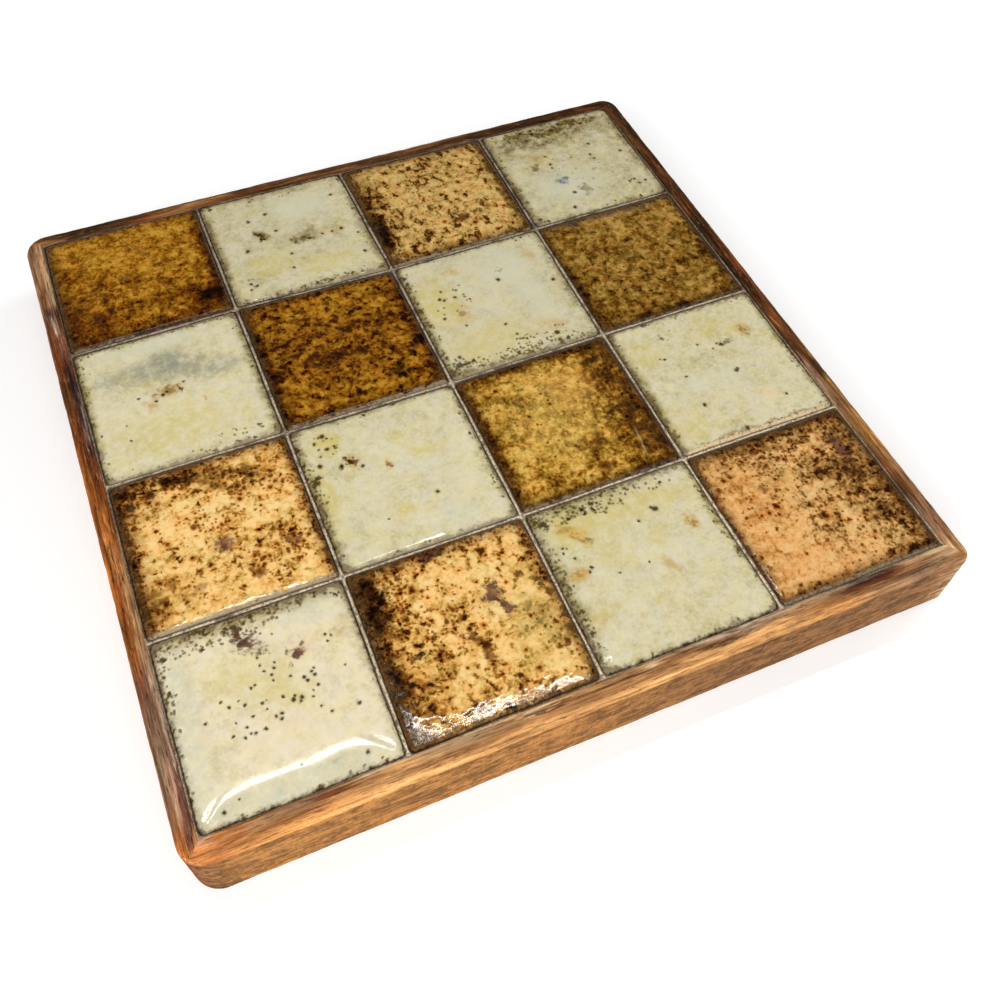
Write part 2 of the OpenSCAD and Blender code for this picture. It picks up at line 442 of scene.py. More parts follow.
tile_recipe(
    1, 1, kind="cream", bias=-.02,
    # The tone at .50, .08 darkens the band along the front below the highlight arc: painted reflection
    tones=[(.10, .50, .16, .50, 0, .10), (.88, .80, .20, .25, 0, .08), (.50, .08, .6, .10, 0, .20),
           (.45, .96, .5, .06, 0, .30), (.98, .5, .06, .6, 0, .20)],
    washes=[(.46, .64, .20, .18, .2, "straw", .45), (.30, .70, .12, .10, .3, "straw", .30),
            (.60, .50, .12, .10, 0, "straw", .45), (.88, .72, .05, .05, -.3, "ochre", .45),
            (.50, .33, .24, .12, 0, "peach", .25), (.14, .45, .05, .03, 0, "peach", .6),
            (.70, .71, .08, .06, 0, "peach", .60), (.56, .33, .05, .04, 0, "peach", .45),
            # The ice wash at .50, .06 greys the same band along the front: painted reflection
            (.06, .50, .12, .55, 0, "ice", .55), (.50, .06, .6, .09, 0, "ice", .65),
            (.80, .90, .2, .1, 0, "ice", .5)],
    blots=[(.455, .825, .075, .040, -.75, "plum", .92), (.43, .885, .02, .035, 0, "plum", .9),
           (.665, .690, .055, .026, .75, "plum", .92)],
    specks=[(.38, .950, .40, .07, 0, .95), (.44, .90, .13, .06, 0, .85), (.10, .93, .13, .07, 0, .75),
            (.85, .95, .16, .04, 0, .45), (.87, .71, .05, .03, 0, .6), (.03, .7, .04, .3, 0, .7)],
    dots=[(.17, .50, .008), (.27, .39, .009), (.37, .37, .010), (.32, .365, .008), (.42, .37, .010),
          (.35, .375, .006), (.34, .41, .007), (.30, .45, .006), (.38, .45, .009), (.45, .46, .007),
          (.48, .41, .009), (.50, .39, .010), (.51, .415, .009), (.36, .52, .010), (.29, .535, .010),
          (.34, .55, .007), (.44, .50, .008), (.46, .505, .006), (.41, .59, .009), (.26, .575, .008),
          (.43, .60, .008), (.52, .59, .007), (.49, .65, .008), (.48, .69, .007), (.54, .65, .009),
          (.52, .62, .008), (.55, .68, .006), (.60, .58, .009), (.66, .55, .010), (.70, .565, .009),
          (.71, .545, .010), (.715, .58, .008), (.67, .53, .009), (.54, .495, .008), (.58, .46, .011),
          (.59, .475, .009), (.62, .455, .013), (.61, .44, .009), (.67, .44, .007), (.71, .49, .008),
          (.69, .38, .008), (.73, .335, .010), (.86, .33, .011), (.86, .54, .007), (.68, .47, .007),
          (.53, .85, .006), (.14, .07, .010), (.52, .15, .007), (.22, .10, .007), (.82, .09, .012),
          (.82, .69, .006), (.82, .73, .007), (.58, .83, .006), (.48, .73, .009)],
    margins=(.018, .016, .014, .035), lip=2.0, bulge=4.6, swell=.4, rough=.05,
    skirt=(.0, "stone", 0))

tile_recipe(
    1, 2, kind="honey", bias=-.10,
    tones=[(.05, .66, .16, .42, 0, .40), (.18, .80, .14, .20, 0, .15), (.30, .96, .4, .06, .1, .30),
           (.10, .20, .16, .18, 0, .35), (.60, .62, .24, .30, 0, -.10), (.46, .58, .07, .09, .2, .32),
           (.30, .12, .24, .08, 0, .30), (.525, .34, .04, .10, 0, .40), (.96, .50, .06, .5, 0, .32),
           (.34, .33, .10, .08, .3, .10)],
    washes=[(.88, .36, .07, .24, .35, "olive", .45), (.05, .20, .08, .20, 0, "umber", .5),
            (.80, .40, .2, .3, 0, "straw", .30)],
    blots=[(.665, .625, .055, .050, 0, "plum", .90), (.705, .525, .026, .055, .25, "plum", .90),
           (.46, .955, .060, .032, 0, "plum", .85), (.52, .99, .03, .02, 0, "plum", .8),
           (.49, .455, .024, .030, .8, "umber", .9), (.525, .345, .024, .075, .1, "umber", .75),
           (.07, .86, .09, .10, 0, "iron", .9), (.07, .68, .06, .09, 0, "iron", .85),
           (.145, .80, .035, .04, 0, "iron", .7), (.20, .45, .018, .02, 0, "iron", .9),
           (.05, .40, .03, .1, 0, "iron", .8), (.84, .68, .02, .025, 0, "umber", .9)],
    specks=[(.14, .80, .20, .24, 0, .8), (.30, .62, .25, .25, 0, .40), (.05, .5, .07, .5, 0, .9),
            (.88, .30, .08, .2, .35, .5), (.3, .96, .4, .04, 0, .7)],
    dots=[(.33, .60, .012), (.42, .52, .010), (.60, .40, .009), (.56, .48, .012), (.62, .72, .010),
          (.76, .66, .010), (.40, .30, .010), (.30, .42, .013), (.70, .28, .009), (.56, .62, .008),
          (.80, .44, .009), (.28, .52, .010), (.36, .73, .010), (.52, .27, .011), (.72, .17, .014),
          (.50, .75, .007), (.44, .80, .007), (.24, .80, .012), (.26, .72, .010), (.78, .80, .008)],
    margins=(.050, .028, .028, .030), ripple=(.16, .10), lip=1.0, bulge=200, swell=0,
    facet=((0, .30), (.05, .20), (.10, .15), (.18, .13), (.24, .08), (.30, .10), (.40, .115),
           (.50, .11), (.58, .07), (.66, .05), (.74, .075), (.82, .09), (.88, .06), (.92, 0)),
    skirt=(.0, "stone", 0))

tile_recipe(
    1, 3, kind="pale", bias=-.02,
    tones=[(.50, .55, .4, .25, 0, -.08), (.25, .94, .35, .09, 0, .30), (.98, .65, .05, .4, 0, .4),
           (.04, .55, .06, .4, 0, .25), (.5, .06, .5, .05, 0, .1)],
    washes=[(.20, .80, .15, .10, -.75, "straw", .85), (.13, .56, .08, .045, -.1, "ochre", .75),
            (.21, .79, .11, .05, -.75, "ochre", .65),
            (.82, .62, .035, .06, 0, "ochre", .80), (.60, .44, .035, .06, .6, "ochre", .60),
            (.09, .27, .05, .04, .3, "ochre", .55), (.16, .32, .08, .05, .3, "straw", .6),
            (.45, .27, .04, .03, 0, "straw", .7), (.55, .82, .45, .10, 0, "straw", .60),
            (.35, .62, .12, .15, .4, "straw", .35), (.62, .62, .10, .05, .6, "straw", .45)],
    blots=[(.21, .795, .085, .028, -.75, "ochre", .55), (.125, .557, .055, .018, -.1, "ochre", .55),
           (.26, .73, .03, .02, -.6, "rust", .45), (.085, .915, .022, .024, 0, "iron", .9),
           (.82, .62, .015, .03, 0, "ochre", .7)],
    specks=[(.30, .94, .42, .09, 0, .85), (.38, .905, .13, .07, 0, .95), (.03, .5, .04, .5, 0, .7),
            (.12, .70, .07, .08, 0, .35), (.65, .90, .25, .05, 0, .35), (.97, .6, .03, .4, 0, .8)],
    dots=[(.675, .77, .018), (.66, .785, .010), (.56, .73, .009), (.144, .652, .010),
          (.10, .70, .008), (.53, .88, .008), (.32, .49, .007), (.49, .49, .006), (.18, .55, .009),
          (.11, .73, .009), (.31, .91, .012), (.40, .92, .010), (.20, .57, .010)],
    margins=(.022, .018, .018, .026), bulge=22, skirt=(.0, "stone", 0))

tile_recipe(
    1, 4, kind="apricot", bias=-.14,
    tones=[(.98, .55, .30, .6, 0, .36), (.50, .98, .6, .14, 0, .30), (.72, .66, .24, .14, -.4, .30),
           (.20, .35, .2, .3, 0, -.10), (.40, .12, .3, .1, 0, -.10), (.88, .30, .14, .3, 0, .22),
           (.28, .67, .06, .05, 0, .25), (.5, .0, .6, .06, 0, .25)],
    washes=[(.45, .68, .06, .06, 0, "ochre", .55), (.74, .66, .14, .08, -.4, "umber", .25),
            (.16, .50, .24, .40, 0, "flame", .45), (.35, .14, .30, .14, 0, "flame", .35)],
    blots=[(.845, .82, .028, .030, 0, "plum", .95), (.84, .74, .030, .075, .1, "plum", .80),
           (.846, .31, .014, .02, 0, "plum", .9), (.29, .665, .025, .03, .5, "umber", .7)],
    specks=[(.50, .82, .55, .22, 0, .40), (.30, .55, .22, .2, 0, .25), (.60, .35, .3, .3, 0, .25)],
    dots=[(.19, .517, .010), (.235, .517, .013), (.294, .5375, .013), (.32, .55, .008),
          (.512, .385, .018), (.28, .49, .009), (.117, .79, .013), (.16, .80, .010),
          (.283, .225, .009), (.585, .167, .009), (.70, .28, .011), (.70, .21, .010),
          (.57, .33, .008), (.72, .78, .014), (.52, .50, .008), (.60, .46, .008), (.46, .80, .010),
          (.62, .60, .009), (.38, .30, .007), (.22, .42, .008), (.40, .90, .012), (.27, .87, .010)],
    margins=(.020, .032, .030, .028))

tile_recipe(
    2, 1, kind="honey", bias=-.14,
    tones=[(.26, .94, .36, .13, .1, .42), (.62, .84, .34, .10, -.30, .40), (.02, .5, .07, .5, 0, .60),
           (.30, .56, .22, .14, 0, -.10), (.60, .55, .25, .12, 0, -.10), (.51, .50, .07, .08, 0, .34),
           (.18, .23, .16, .10, .2, .26), (.72, .24, .16, .10, 0, .24), (.90, .88, .16, .12, 0, .3),
           (.80, .38, .10, .10, 0, .20), (.98, .4, .04, .5, 0, .35)],
    # The stone wash along the front is partly bare clay and partly a painted sheen below the lip's
    # highlight
    washes=[(.5, .030, .55, .024, 0, "stone", .95), (.16, .78, .12, .10, 0, "rust", .35),
            (.20, .20, .20, .12, 0, "ochre", .35), (.60, .84, .25, .10, 0, "ochre", .35)],
    blots=[(.50, .4125, .045, .036, .2, "plum", .80), (.34, .915, .085, .022, -.35, "iron", .90),
           (.45, .86, .07, .020, -.5, "umber", .8), (.21, .84, .030, .03, 0, "iron", .85),
           (.10, .81, .028, .028, 0, "iron", .85), (.08, .93, .03, .03, 0, "umber", .9),
           (.70, .82, .09, .02, -.4, "umber", .8), (.84, .30, .045, .03, -.5, "umber", .85),
           (.625, .19, .035, .03, 0, "umber", .7), (.31, .21, .03, .03, 0, "umber", .5)],
    specks=[(.30, .88, .40, .12, 0, .65), (.62, .80, .34, .10, -.3, .65), (.04, .5, .06, .5, 0, .9),
            (.75, .28, .25, .15, 0, .4), (.2, .2, .2, .12, 0, .4), (.4, .6, .3, .1, 0, .3)],
    dots=[(.23, .517, .015), (.645, .656, .015), (.66, .68, .010), (.82, .667, .014),
          (.667, .333, .014), (.14, .31, .012), (.146, .183, .016), (.094, .146, .015),
          (.66, .22, .011), (.85, .345, .014), (.92, .31, .011), (.74, .575, .009),
          (.33, .39, .011), (.57, .35, .009), (.69, .43, .011), (.45, .61, .010),
          (.25, .45, .009), (.86, .70, .010), (.40, .60, .008), (.05, .90, .014), (.45, .79, .012)],
    margins=(.045, .024, .012, .030), lip=1.0, skirt=(.042, "stone", .9),
    slope=(.042, .030, .0, 1.0, .060, .053, -.0020))

tile_recipe(
    2, 2, kind="pale", bias=-.04,
    tones=[(.60, .45, .4, .3, 0, -.05), (.70, .25, .2, .15, 0, -.04), (.02, .5, .05, .5, 0, .35),
           (.98, .5, .05, .5, 0, .25), (.5, .98, .5, .04, 0, .25)],
    washes=[(.43, .26, .07, .05, 0, "straw", .85), (.72, .58, .10, .08, 0, "straw", .45),
            (.18, .84, .10, .12, .3, "straw", .80), (.09, .50, .05, .25, 0, "straw", .75),
            (.467, .573, .025, .05, .1, "ochre", .65), (.28, .65, .06, .05, 0, "ochre", .85),
            (.60, .66, .05, .16, .5, "straw", .45), (.70, .15, .12, .10, 0, "ice", .45),
            # The stone wash at the front is partly bare clay and partly a painted sheen
            (.66, .50, .10, .05, 0, "ice", .55), (.27, .026, .30, .018, 0, "stone", .6)],
    blots=[(.056, .61, .030, .022, .5, "iron", .95), (.285, .645, .032, .024, -.2, "rust", .90),
           (.27, .65, .014, .014, 0, "iron", .8), (.467, .573, .013, .032, .15, "rust", .75)],
    specks=[(.16, .82, .10, .10, 0, .40), (.26, .66, .07, .05, 0, .60), (.03, .6, .04, .35, 0, .8),
            (.97, .4, .03, .4, 0, .5)],
    dots=[(.18, .89, .016), (.125, .854, .012), (.18, .795, .014), (.108, .70, .015),
          (.64, .306, .014), (.22, .80, .009), (.217, .656, .011), (.325, .615, .012),
          (.34, .24, .006), (.13, .76, .008)],
    margins=(.032, .018, .020, .022), lip=1.2, skirt=(.030, "stone", .8),
    slope=(.050, .012, .04, .60, .050, .054, -.0015))

tile_recipe(
    2, 3, kind="golden", bias=-.10,
    tones=[(.95, .50, .24, .8, -.1, .60), (.45, .45, .22, .22, 0, -.12), (.20, .75, .2, .2, 0, .04),
           (.62, .78, .12, .14, 0, -.16), (.02, .5, .06, .5, 0, .50), (.56, .13, .06, .05, 0, .40),
           (.50, .98, .6, .08, 0, .50), (.55, .28, .10, .06, .4, .22), (.08, .50, .06, .08, 0, .25),
           (.5, .03, .6, .05, 0, .3), (.15, .15, .14, .14, 0, .1)],
    washes=[(.93, .5, .16, .7, -.1, "umber", .30), (.62, .72, .16, .16, 0, "flame", .30),
            (.45, .55, .3, .3, 0, "straw", .15)],
    blots=[(.57, .13, .045, .028, .2, "umber", .8), (.80, .85, .05, .025, 0, "iron", .65),
           (.03, .74, .022, .08, 0, "plum", .85), (.57, .28, .035, .015, .6, "umber", .7),
           (.93, .2, .03, .03, 0, "iron", .6)],
    specks=[(.5, .5, .5, .5, 0, .10), (.88, .60, .14, .3, 0, .35), (.03, .6, .04, .4, 0, .8)],
    dots=[(.21, .83, .012), (.46, .66, .007), (.31, .59, .008)],
    scratches=[(.825, .20, .0045, .12, -.10, "stone")],
    margins=(.035, .028, .028, .028), curd=2.0, drawn=(1.3, .8, 1))

tile_recipe(
    2, 4, kind="pale", bias=.04,
    tones=[(.15, .85, .3, .3, 0, -.03), (.5, .3, .4, .25, 0, -.05), (.4, .6, .2, .2, 0, .06),
           (.98, .6, .05, .5, 0, .3), (.02, .5, .04, .5, 0, .3)],
    washes=[(.60, .80, .12, .08, .3, "straw", .55), (.79, .73, .045, .06, .3, "ochre", .65),
            (.76, .76, .08, .06, 0, "straw", .6), (.69, .23, .05, .05, 0, "peach", .65),
            (.15, .75, .12, .12, 0, "straw", .5), (.15, .20, .15, .15, 0, "straw", .4),
            (.55, .035, .5, .022, 0, "peach", .6), (.45, .45, .3, .1, 0, "ice", .4)],
    blots=[(.28, .84, .022, .022, 0, "olive", .75), (.79, .72, .014, .035, .3, "olive", .6),
           (.66, .675, .03, .014, .3, "olive", .7), (.57, .050, .4, .010, 0, "umber", .45)],
    specks=[(.60, .66, .10, .04, .3, .35), (.3, .85, .10, .04, 0, .30), (.5, .03, .5, .03, 0, .4),
            (.97, .5, .03, .4, 0, .6)],
    dots=[(.61, .662, .016), (.59, .448, .015), (.605, .46, .010), (.283, .29, .012),
          (.29, .517, .008), (.77, .19, .010), (.21, .69, .007), (.47, .71, .009), (.98, .45, .016),
          (.235, .68, .009)],
    margins=(.022, .020, .022, .016), lip=1.2,
    slope=(.055, .004, -.1, 1.1, .045, .02, .015), skirt=(.040, "peach", .8))

tile_recipe(
    3, 1, kind="pale", bias=-.02,
    tones=[(.5, .30, .5, .25, 0, -.12), (.48, .68, .36, .12, .0, .12), (.5, .92, .5, .08, 0, .0),
           (.02, .6, .04, .5, 0, .35), (.98, .5, .04, .5, 0, .3)],
    washes=[(.30, .72, .30, .09, .06, "slate", .45), (.50, .73, .17, .14, .1, "slate", .55),
            (.72, .62, .22, .09, -.15, "slate", .60), (.50, .74, .08, .07, .1, "slate", .45),
            (.354, .454, .05, .04, 0, "ochre", .75), (.47, .535, .11, .045, 0, "ochre", .75),
            (.66, .39, .035, .04, 0, "peach", .8),
            (.45, .25, .42, .18, 0, "straw", .50), (.5, .90, .4, .06, 0, "ice", .5)],
    blots=[(.46, .54, .060, .022, 0, "olive", .62), (.54, .52, .012, .026, 0, "iron", .85),
           (.66, .40, .016, .02, 0, "rust", .4)],
    specks=[(.03, .8, .04, .2, 0, .6),
            (.67, .115, .05, .03, 0, .6), (.78, .09, .12, .03, 0, .45)],
    dots=[(.302, .525, .010), (.39, .475, .011), (.437, .505, .012), (.46, .52, .009),
          (.20, .25, .006), (.20, .36, .006), (.57, .56, .008)],
    margins=(.022, .024, .020, .020))

tile_recipe(
    3, 2, kind="dark golden", bias=-.02,
    tones=[(.40, .90, .35, .10, 0, -.14), (.40, .10, .35, .08, 0, -.16), (.02, .5, .06, .5, 0, .5),
           (.60, .62, .12, .06, .3, .24), (.45, .42, .26, .07, .1, .20), (.75, .19, .06, .05, 0, .35),
           (.95, .5, .08, .5, 0, .22), (.21, .88, .07, .06, 0, .35), (.15, .5, .1, .2, 0, .15)],
    washes=[(.45, .5, .4, .3, 0, "rust", .15)],
    blots=[(.60, .625, .05, .022, .5, "bark", .85), (.36, .37, .04, .018, .3, "bark", .8),
           (.50, .42, .05, .016, -.2, "bark", .8),
           (.754, .1875, .028, .022, 0, "iron", .7), (.515, .865, .018, .02, 0, "bark", .7),
           (.30, .46, .04, .02, .3, "bark", .7)],
    specks=[(.45, .45, .30, .18, 0, .45), (.04, .5, .06, .5, 0, .7), (.5, .5, .5, .5, 0, .12)],
    dots=[(.30, .70, .008), (.68, .48, .010), (.80, .70, .008), (.86, .34, .009)],
    margins=(.036, .028, .030, .028), curd=2.6)

tile_recipe(
    3, 3, kind="grey pale", bias=-.24,
    tones=[(.5, .6, .3, .3, 0, -.04), (.92, .5, .12, .4, 0, .14), (.98, .5, .05, .5, 0, .25),
           (.02, .5, .04, .5, 0, .35), (.5, .99, .5, .03, 0, .3), (.1, .06, .2, .06, 0, .25)],
    washes=[(.26, .47, .07, .10, 0, "ochre", .45), (.34, .81, .06, .05, 0, "ochre", .40),
            (.85, .80, .05, .06, 0, "ochre", .45), (.74, .19, .12, .06, -.4, "ochre", .45),
            (.16, .60, .14, .25, 0, "straw", .65), (.35, .2, .3, .15, 0, "straw", .55),
            (.65, .75, .2, .2, 0, "ice", .45), (.75, .45, .15, .25, 0, "ice", .35)],
    blots=[(.6125, .733, .028, .016, .2, "olive", .6), (.08, .083, .030, .026, 0, "iron", .85),
           (.258, .469, .02, .022, 0, "olive", .5)],
    specks=[(.24, .58, .14, .14, 0, .30), (.06, .08, .10, .08, 0, .9), (.5, .06, .5, .05, 0, .75),
            (.65, .12, .2, .07, 0, .45), (.03, .5, .04, .5, 0, .6)],
    dots=[(.58, .65, .015), (.904, .53, .014), (.175, .625, .013), (.20, .61, .009),
          (.27, .604, .010), (.206, .683, .010), (.144, .465, .012), (.248, .365, .010),
          (.35, .56, .008), (.473, .2875, .010), (.504, .1875, .011), (.525, .146, .010),
          (.1125, .15, .013), (.30, .66, .008)],
    margins=(.026, .020, .026, .020))

tile_recipe(
    3, 4, kind="olive golden", bias=-.04,
    tones=[(.5, .0, .6, .07, 0, .7), (.99, .5, .05, .5, 0, .4), (.01, .3, .05, .4, 0, .45),
           (.48, .50, .09, .05, 0, .30), (.4, .8, .3, .1, 0, -.08), (.5, 1, .6, .04, 0, .35)],
    washes=[(.47, .55, .09, .05, 0, "olive", .35), (.5, .96, .5, .05, 0, "stone", .25)],
    blots=[(.356, .27, .020, .024, 0, "umber", .7), (.53, .23, .016, .022, 0, "umber", .6),
           (.64, .25, .016, .022, 0, "umber", .6), (.117, .80, .02, .022, 0, "umber", .5),
           (.367, .865, .03, .02, 0, "olive", .5)],
    specks=[(.5, .5, .6, .6, 0, .12)],
    dots=[(.30, .36, .009)],
    margins=(.024, .028, .036, .024), curd=2.2, drawn=(1.2, .8, 1))

tile_recipe(
    4, 1, kind="deep amber", bias=-.08,
    tones=[(.45, .82, .45, .2, 0, -.16), (.12, .22, .25, .2, 0, .24), (.90, .18, .14, .1, 0, .7),
           (.5, .0, .6, .06, 0, .6), (.98, .5, .05, .5, 0, .45), (.62, .52, .2, .12, .2, -.12),
           (.60, .26, .35, .07, 0, .22), (.5, .99, .5, .03, 0, .3)],
    washes=[(.15, .30, .2, .2, 0, "rust", .2)],
    blots=[(.90, .185, .07, .05, 0, "iron", .85), (.22, .45, .018, .022, 0, "plum", .7),
           (.417, .51, .016, .024, 0, "plum", .6), (.29, .375, .018, .018, 0, "plum", .6),
           (.57, .09, .06, .03, 0, "iron", .7), (.10, .33, .03, .03, 0, "umber", .6)],
    specks=[(.25, .25, .3, .25, 0, .35), (.5, .06, .5, .06, 0, .8)],
    dots=[(.78, .50, .012), (.80, .45, .010), (.44, .86, .008)],
    scratches=[(.53, .77, .006, .19, .52, "umber"), (.49, .80, .005, .12, .45, "umber"),
               (.60, .68, .005, .11, .6, "umber")],
    margins=(.040, .030, .040, .024))

tile_recipe(
    4, 2, kind="grey pale", bias=-.10,
    tones=[(.55, .15, .35, .12, 0, -.12), (.66, .78, .2, .15, 0, -.12), (.5, .97, .5, .06, 0, .25),
           (.98, .5, .05, .5, 0, .35), (.02, .5, .04, .5, 0, .3)],
    washes=[(.60, .48, .12, .07, 0, "olive", .48), (.76, .455, .12, .03, 0, "ochre", .5),
            (.32, .57, .05, .07, .3, "olive", .45),
            (.3, .3, .2, .1, 0, "straw", .5), (.65, .2, .2, .1, 0, "straw", .5),
            (.62, .75, .2, .15, 0, "ice", .5)],
    blots=[(.317, .567, .032, .060, .3, "olive", .90), (.31, .56, .018, .04, .3, "iron", .8),
           (.56, .455, .07, .024, -.1, "olive", .9), (.62, .52, .05, .03, 0, "olive", .5)],
    specks=[(.5, .04, .5, .03, 0, .8), (.5, .93, .5, .08, 0, .12), (.14, .17, .05, .06, 0, .5)],
    dots=[(.077, .94, .014), (.396, .76, .014), (.275, .725, .014), (.858, .796, .012),
          (.20, .4625, .017), (.42, .583, .011), (.454, .344, .012), (.43, .22, .010),
          (.896, .208, .013), (.14, .177, .011), (.82, .458, .013), (.69, .45, .011),
          (.754, .45, .011), (.91, .385, .010), (.13, .13, .010), (.60, .44, .012)],
    margins=(.026, .024, .030, .020))

tile_recipe(
    4, 3, kind="sandy", bias=-.08,
    tones=[(.02, .33, .09, .22, 0, .9), (.98, .5, .05, .5, 0, .5), (.5, .99, .6, .04, 0, .3),
           (.5, .50, .3, .3, 0, -.08), (.12, .5, .1, .4, 0, .20), (.5, .0, .5, .05, 0, .35)],
    washes=[(.96, .4, .06, .5, 0, "olive", .5), (.03, .75, .05, .2, 0, "rust", .3)],
    blots=[(.58, .275, .050, .038, .2, "umber", .95), (.435, .427, .020, .036, 0, "umber", .9),
           (.50, .75, .09, .014, 0, "umber", .8), (.33, .22, .026, .036, 0, "umber", .85),
           (.04, .30, .05, .14, 0, "iron", .85), (.38, .84, .03, .022, 0, "umber", .8),
           (.36, .33, .022, .022, 0, "umber", .8)],
    specks=[(.5, .5, .55, .55, 0, .14), (.08, .4, .08, .4, 0, .7)],
    dots=[(.55, .917, .014), (.79, .865, .012), (.227, .77, .014), (.696, .604, .016),
          (.133, .615, .016), (.644, .52, .012), (.654, .198, .016), (.467, .27, .013),
          (.894, .28, .013), (.217, .125, .014), (.60, .75, .013)],
    margins=(.036, .030, .030, .028), curd=2.4, drawn=(1.3, .8, 1))

tile_recipe(
    4, 4, kind="grey pale", bias=-.02,
    tones=[(.35, .2, .3, .2, 0, -.08), (.5, .84, .50, .14, 0, .34), (.98, .5, .06, .5, 0, .3),
           (.02, .5, .05, .5, 0, .3), (.6, .5, .2, .2, 0, -.05)],
    washes=[(.5, .90, .38, .06, 0, "olive", .40), (.3, .60, .12, .12, 0, "ochre", .30),
            (.356, .358, .05, .05, 0, "slate", .9), (.4, .3, .3, .2, 0, "ice", .5)],
    blots=[(.356, .358, .034, .034, 0, "smoke", .9), (.25, .915, .060, .036, -.2, "olive", .95),
           (.49, .865, .10, .036, .1, "olive", .95), (.68, .905, .07, .036, 0, "olive", .95),
           (.84, .90, .055, .028, -.3, "olive", .9), (.17, .80, .05, .026, .6, "olive", .6),
           (.242, .54, .032, .036, 0, "olive", .8), (.477, .23, .028, .04, 0, "olive", .6)],
    specks=[(.5, .89, .42, .06, 0, .8), (.5, .5, .5, .4, 0, .04), (.80, .18, .10, .04, 0, .5)],
    dots=[(.356, .5375, .013), (.3875, .219, .014), (.33, .09, .014), (.658, .5375, .012),
          (.67, .49, .010), (.877, .50, .013), (.356, .625, .010), (.70, .646, .012),
          (.79, .19, .012), (.90, .167, .010), (.83, .20, .010), (.35, .50, .010), (.60, .93, .016),
          (.30, .93, .016)],
    margins=(.028, .022, .020, .022))

# Each kind of glaze: its colour from thinnest and lightest to thickest and darkest, then how
# strongly its clouds, its mottle and its fine mottle move the tone, and how much it curdles.
GLAZE_KINDS = {
    "cream": (((244, 236, 212), (238, 227, 196), (231, 218, 184), (210, 194, 154), (150, 128, 90),
               (70, 56, 34)), 0.5, 0.7, 0.4, 0.0),
    "pale": (((228, 219, 188), (223, 214, 180), (215, 205, 168), (197, 187, 142), (150, 132, 84),
              (66, 54, 26)), 0.6, 1.0, 0.6, 0.0),
    "grey pale": (((216, 208, 176), (210, 201, 166), (196, 186, 148), (168, 156, 116),
                   (112, 96, 58), (54, 44, 22)), 0.6, 1.0, 0.6, 0.0),
    "honey": (((250, 212, 150), (244, 202, 132), (224, 174, 98), (166, 114, 44), (92, 50, 12),
               (32, 12, 4)), 0.9, 1.9, 0.8, 0.85),
    "apricot": (((240, 196, 138), (228, 180, 120), (196, 150, 90), (138, 96, 44), (86, 50, 16),
                 (42, 20, 8)), 0.9, 1.5, 1.2, 0.9),
    "golden": (((232, 190, 106), (208, 165, 80), (170, 128, 46), (122, 80, 16), (80, 44, 4),
                (36, 14, 2)), 0.9, 1.8, 1.0, 0.5),
    "dark golden": (((190, 140, 50), (166, 116, 30), (136, 88, 14), (96, 52, 4), (58, 24, 2),
                     (24, 8, 2)), 0.8, 2.3, 0.9, 1.1),
    "deep amber": (((200, 150, 60), (176, 126, 36), (136, 87, 13), (98, 52, 4), (60, 26, 2),
                    (24, 8, 2)), 0.8, 1.6, 1.0, 0.5),
    "olive golden": (((190, 152, 82), (166, 128, 60), (136, 100, 36), (100, 67, 14), (66, 36, 4),
                      (30, 12, 2)), 0.9, 2.2, 0.9, 0.5),
    "sandy": (((228, 190, 126), (216, 178, 112), (186, 150, 86), (132, 94, 36), (90, 55, 14),
               (54, 28, 6)), 0.7, 1.6, 0.7, 1.20),
}


# What these colours take away from the amber glaze: they deepen it and don't cover it
STAINS = {"umber": (0.24, 0.11, 0.045), "iron": (0.07, 0.03, 0.015), "bark": (0.16, 0.07, 0.03),
          "olive": (0.46, 0.40, 0.14)}

# What the pale and the amber glazes do differently: how bent their mottle is, the share of a
# recipe's tones, their warm and cool cast, how dense the specks are inside and at the rim, how much
# small and large specks show, the halo round a dot, the shadow and the strength of the margins
PALE = SimpleNamespace(
    mottle_bend=0.2, fine_bend=0.2, tone_share=1.0, warm=(1.02, 1.0, 0.90), cool=(0.99, 1.0, 1.05),
    inner_specks=0.0, rim_specks=0.28, small_speck=0.52, large_speck=0.85, halo_reach=1.9,
    halo_share=0.42, shadow_reach=2.6, shadow_share=0.42, margin_share=0.62, blend="MIX")
AMBER = SimpleNamespace(
    mottle_bend=0.4, fine_bend=0.35, tone_share=0.75, warm=(1.06, 0.96, 0.84), cool=(0.97, 1.03, 0.98),
    inner_specks=0.03, rim_specks=0.55, small_speck=0.65, large_speck=0.85, halo_reach=2.3,
    halo_share=0.9, shadow_reach=3.2, shadow_share=0.56, margin_share=0.85, blend="MULTIPLY")
# Farther than anything on a tile is from a dot, in shares of the cell
FAR = 10.0


def speck_layer(g, place, cell_size, density, largest, jagged):
    """Specks of mixed sizes, one at most in each cell, and the halo round each of them."""
    cells = g.add("ShaderNodeTexVoronoi", {"Vector": place, "Scale": 1 / cell_size},
                  voronoi_dimensions="2D")
    own = g.add("ShaderNodeSeparateColor", {0: cells.outputs["Color"]}).outputs
    over = g.math("SUBTRACT", g.math("ADD", own[0], density), 1)
    size = g.math("MULTIPLY", g.span(own[1], 0, 1, 0.45, 1.0, "LINEAR"), largest)
    size = g.math("MINIMUM", g.math("MULTIPLY", over, 6), size)
    gap = g.about(jagged, 1.2, g.math("SUBTRACT", cells.outputs["Distance"], size))
    shown = g.math("GREATER_THAN", over, 0)
    return (g.math("MULTIPLY", g.span(gap, 0.10, -0.12), shown),
            g.math("MULTIPLY", g.span(gap, 0.30, 0.0), shown))


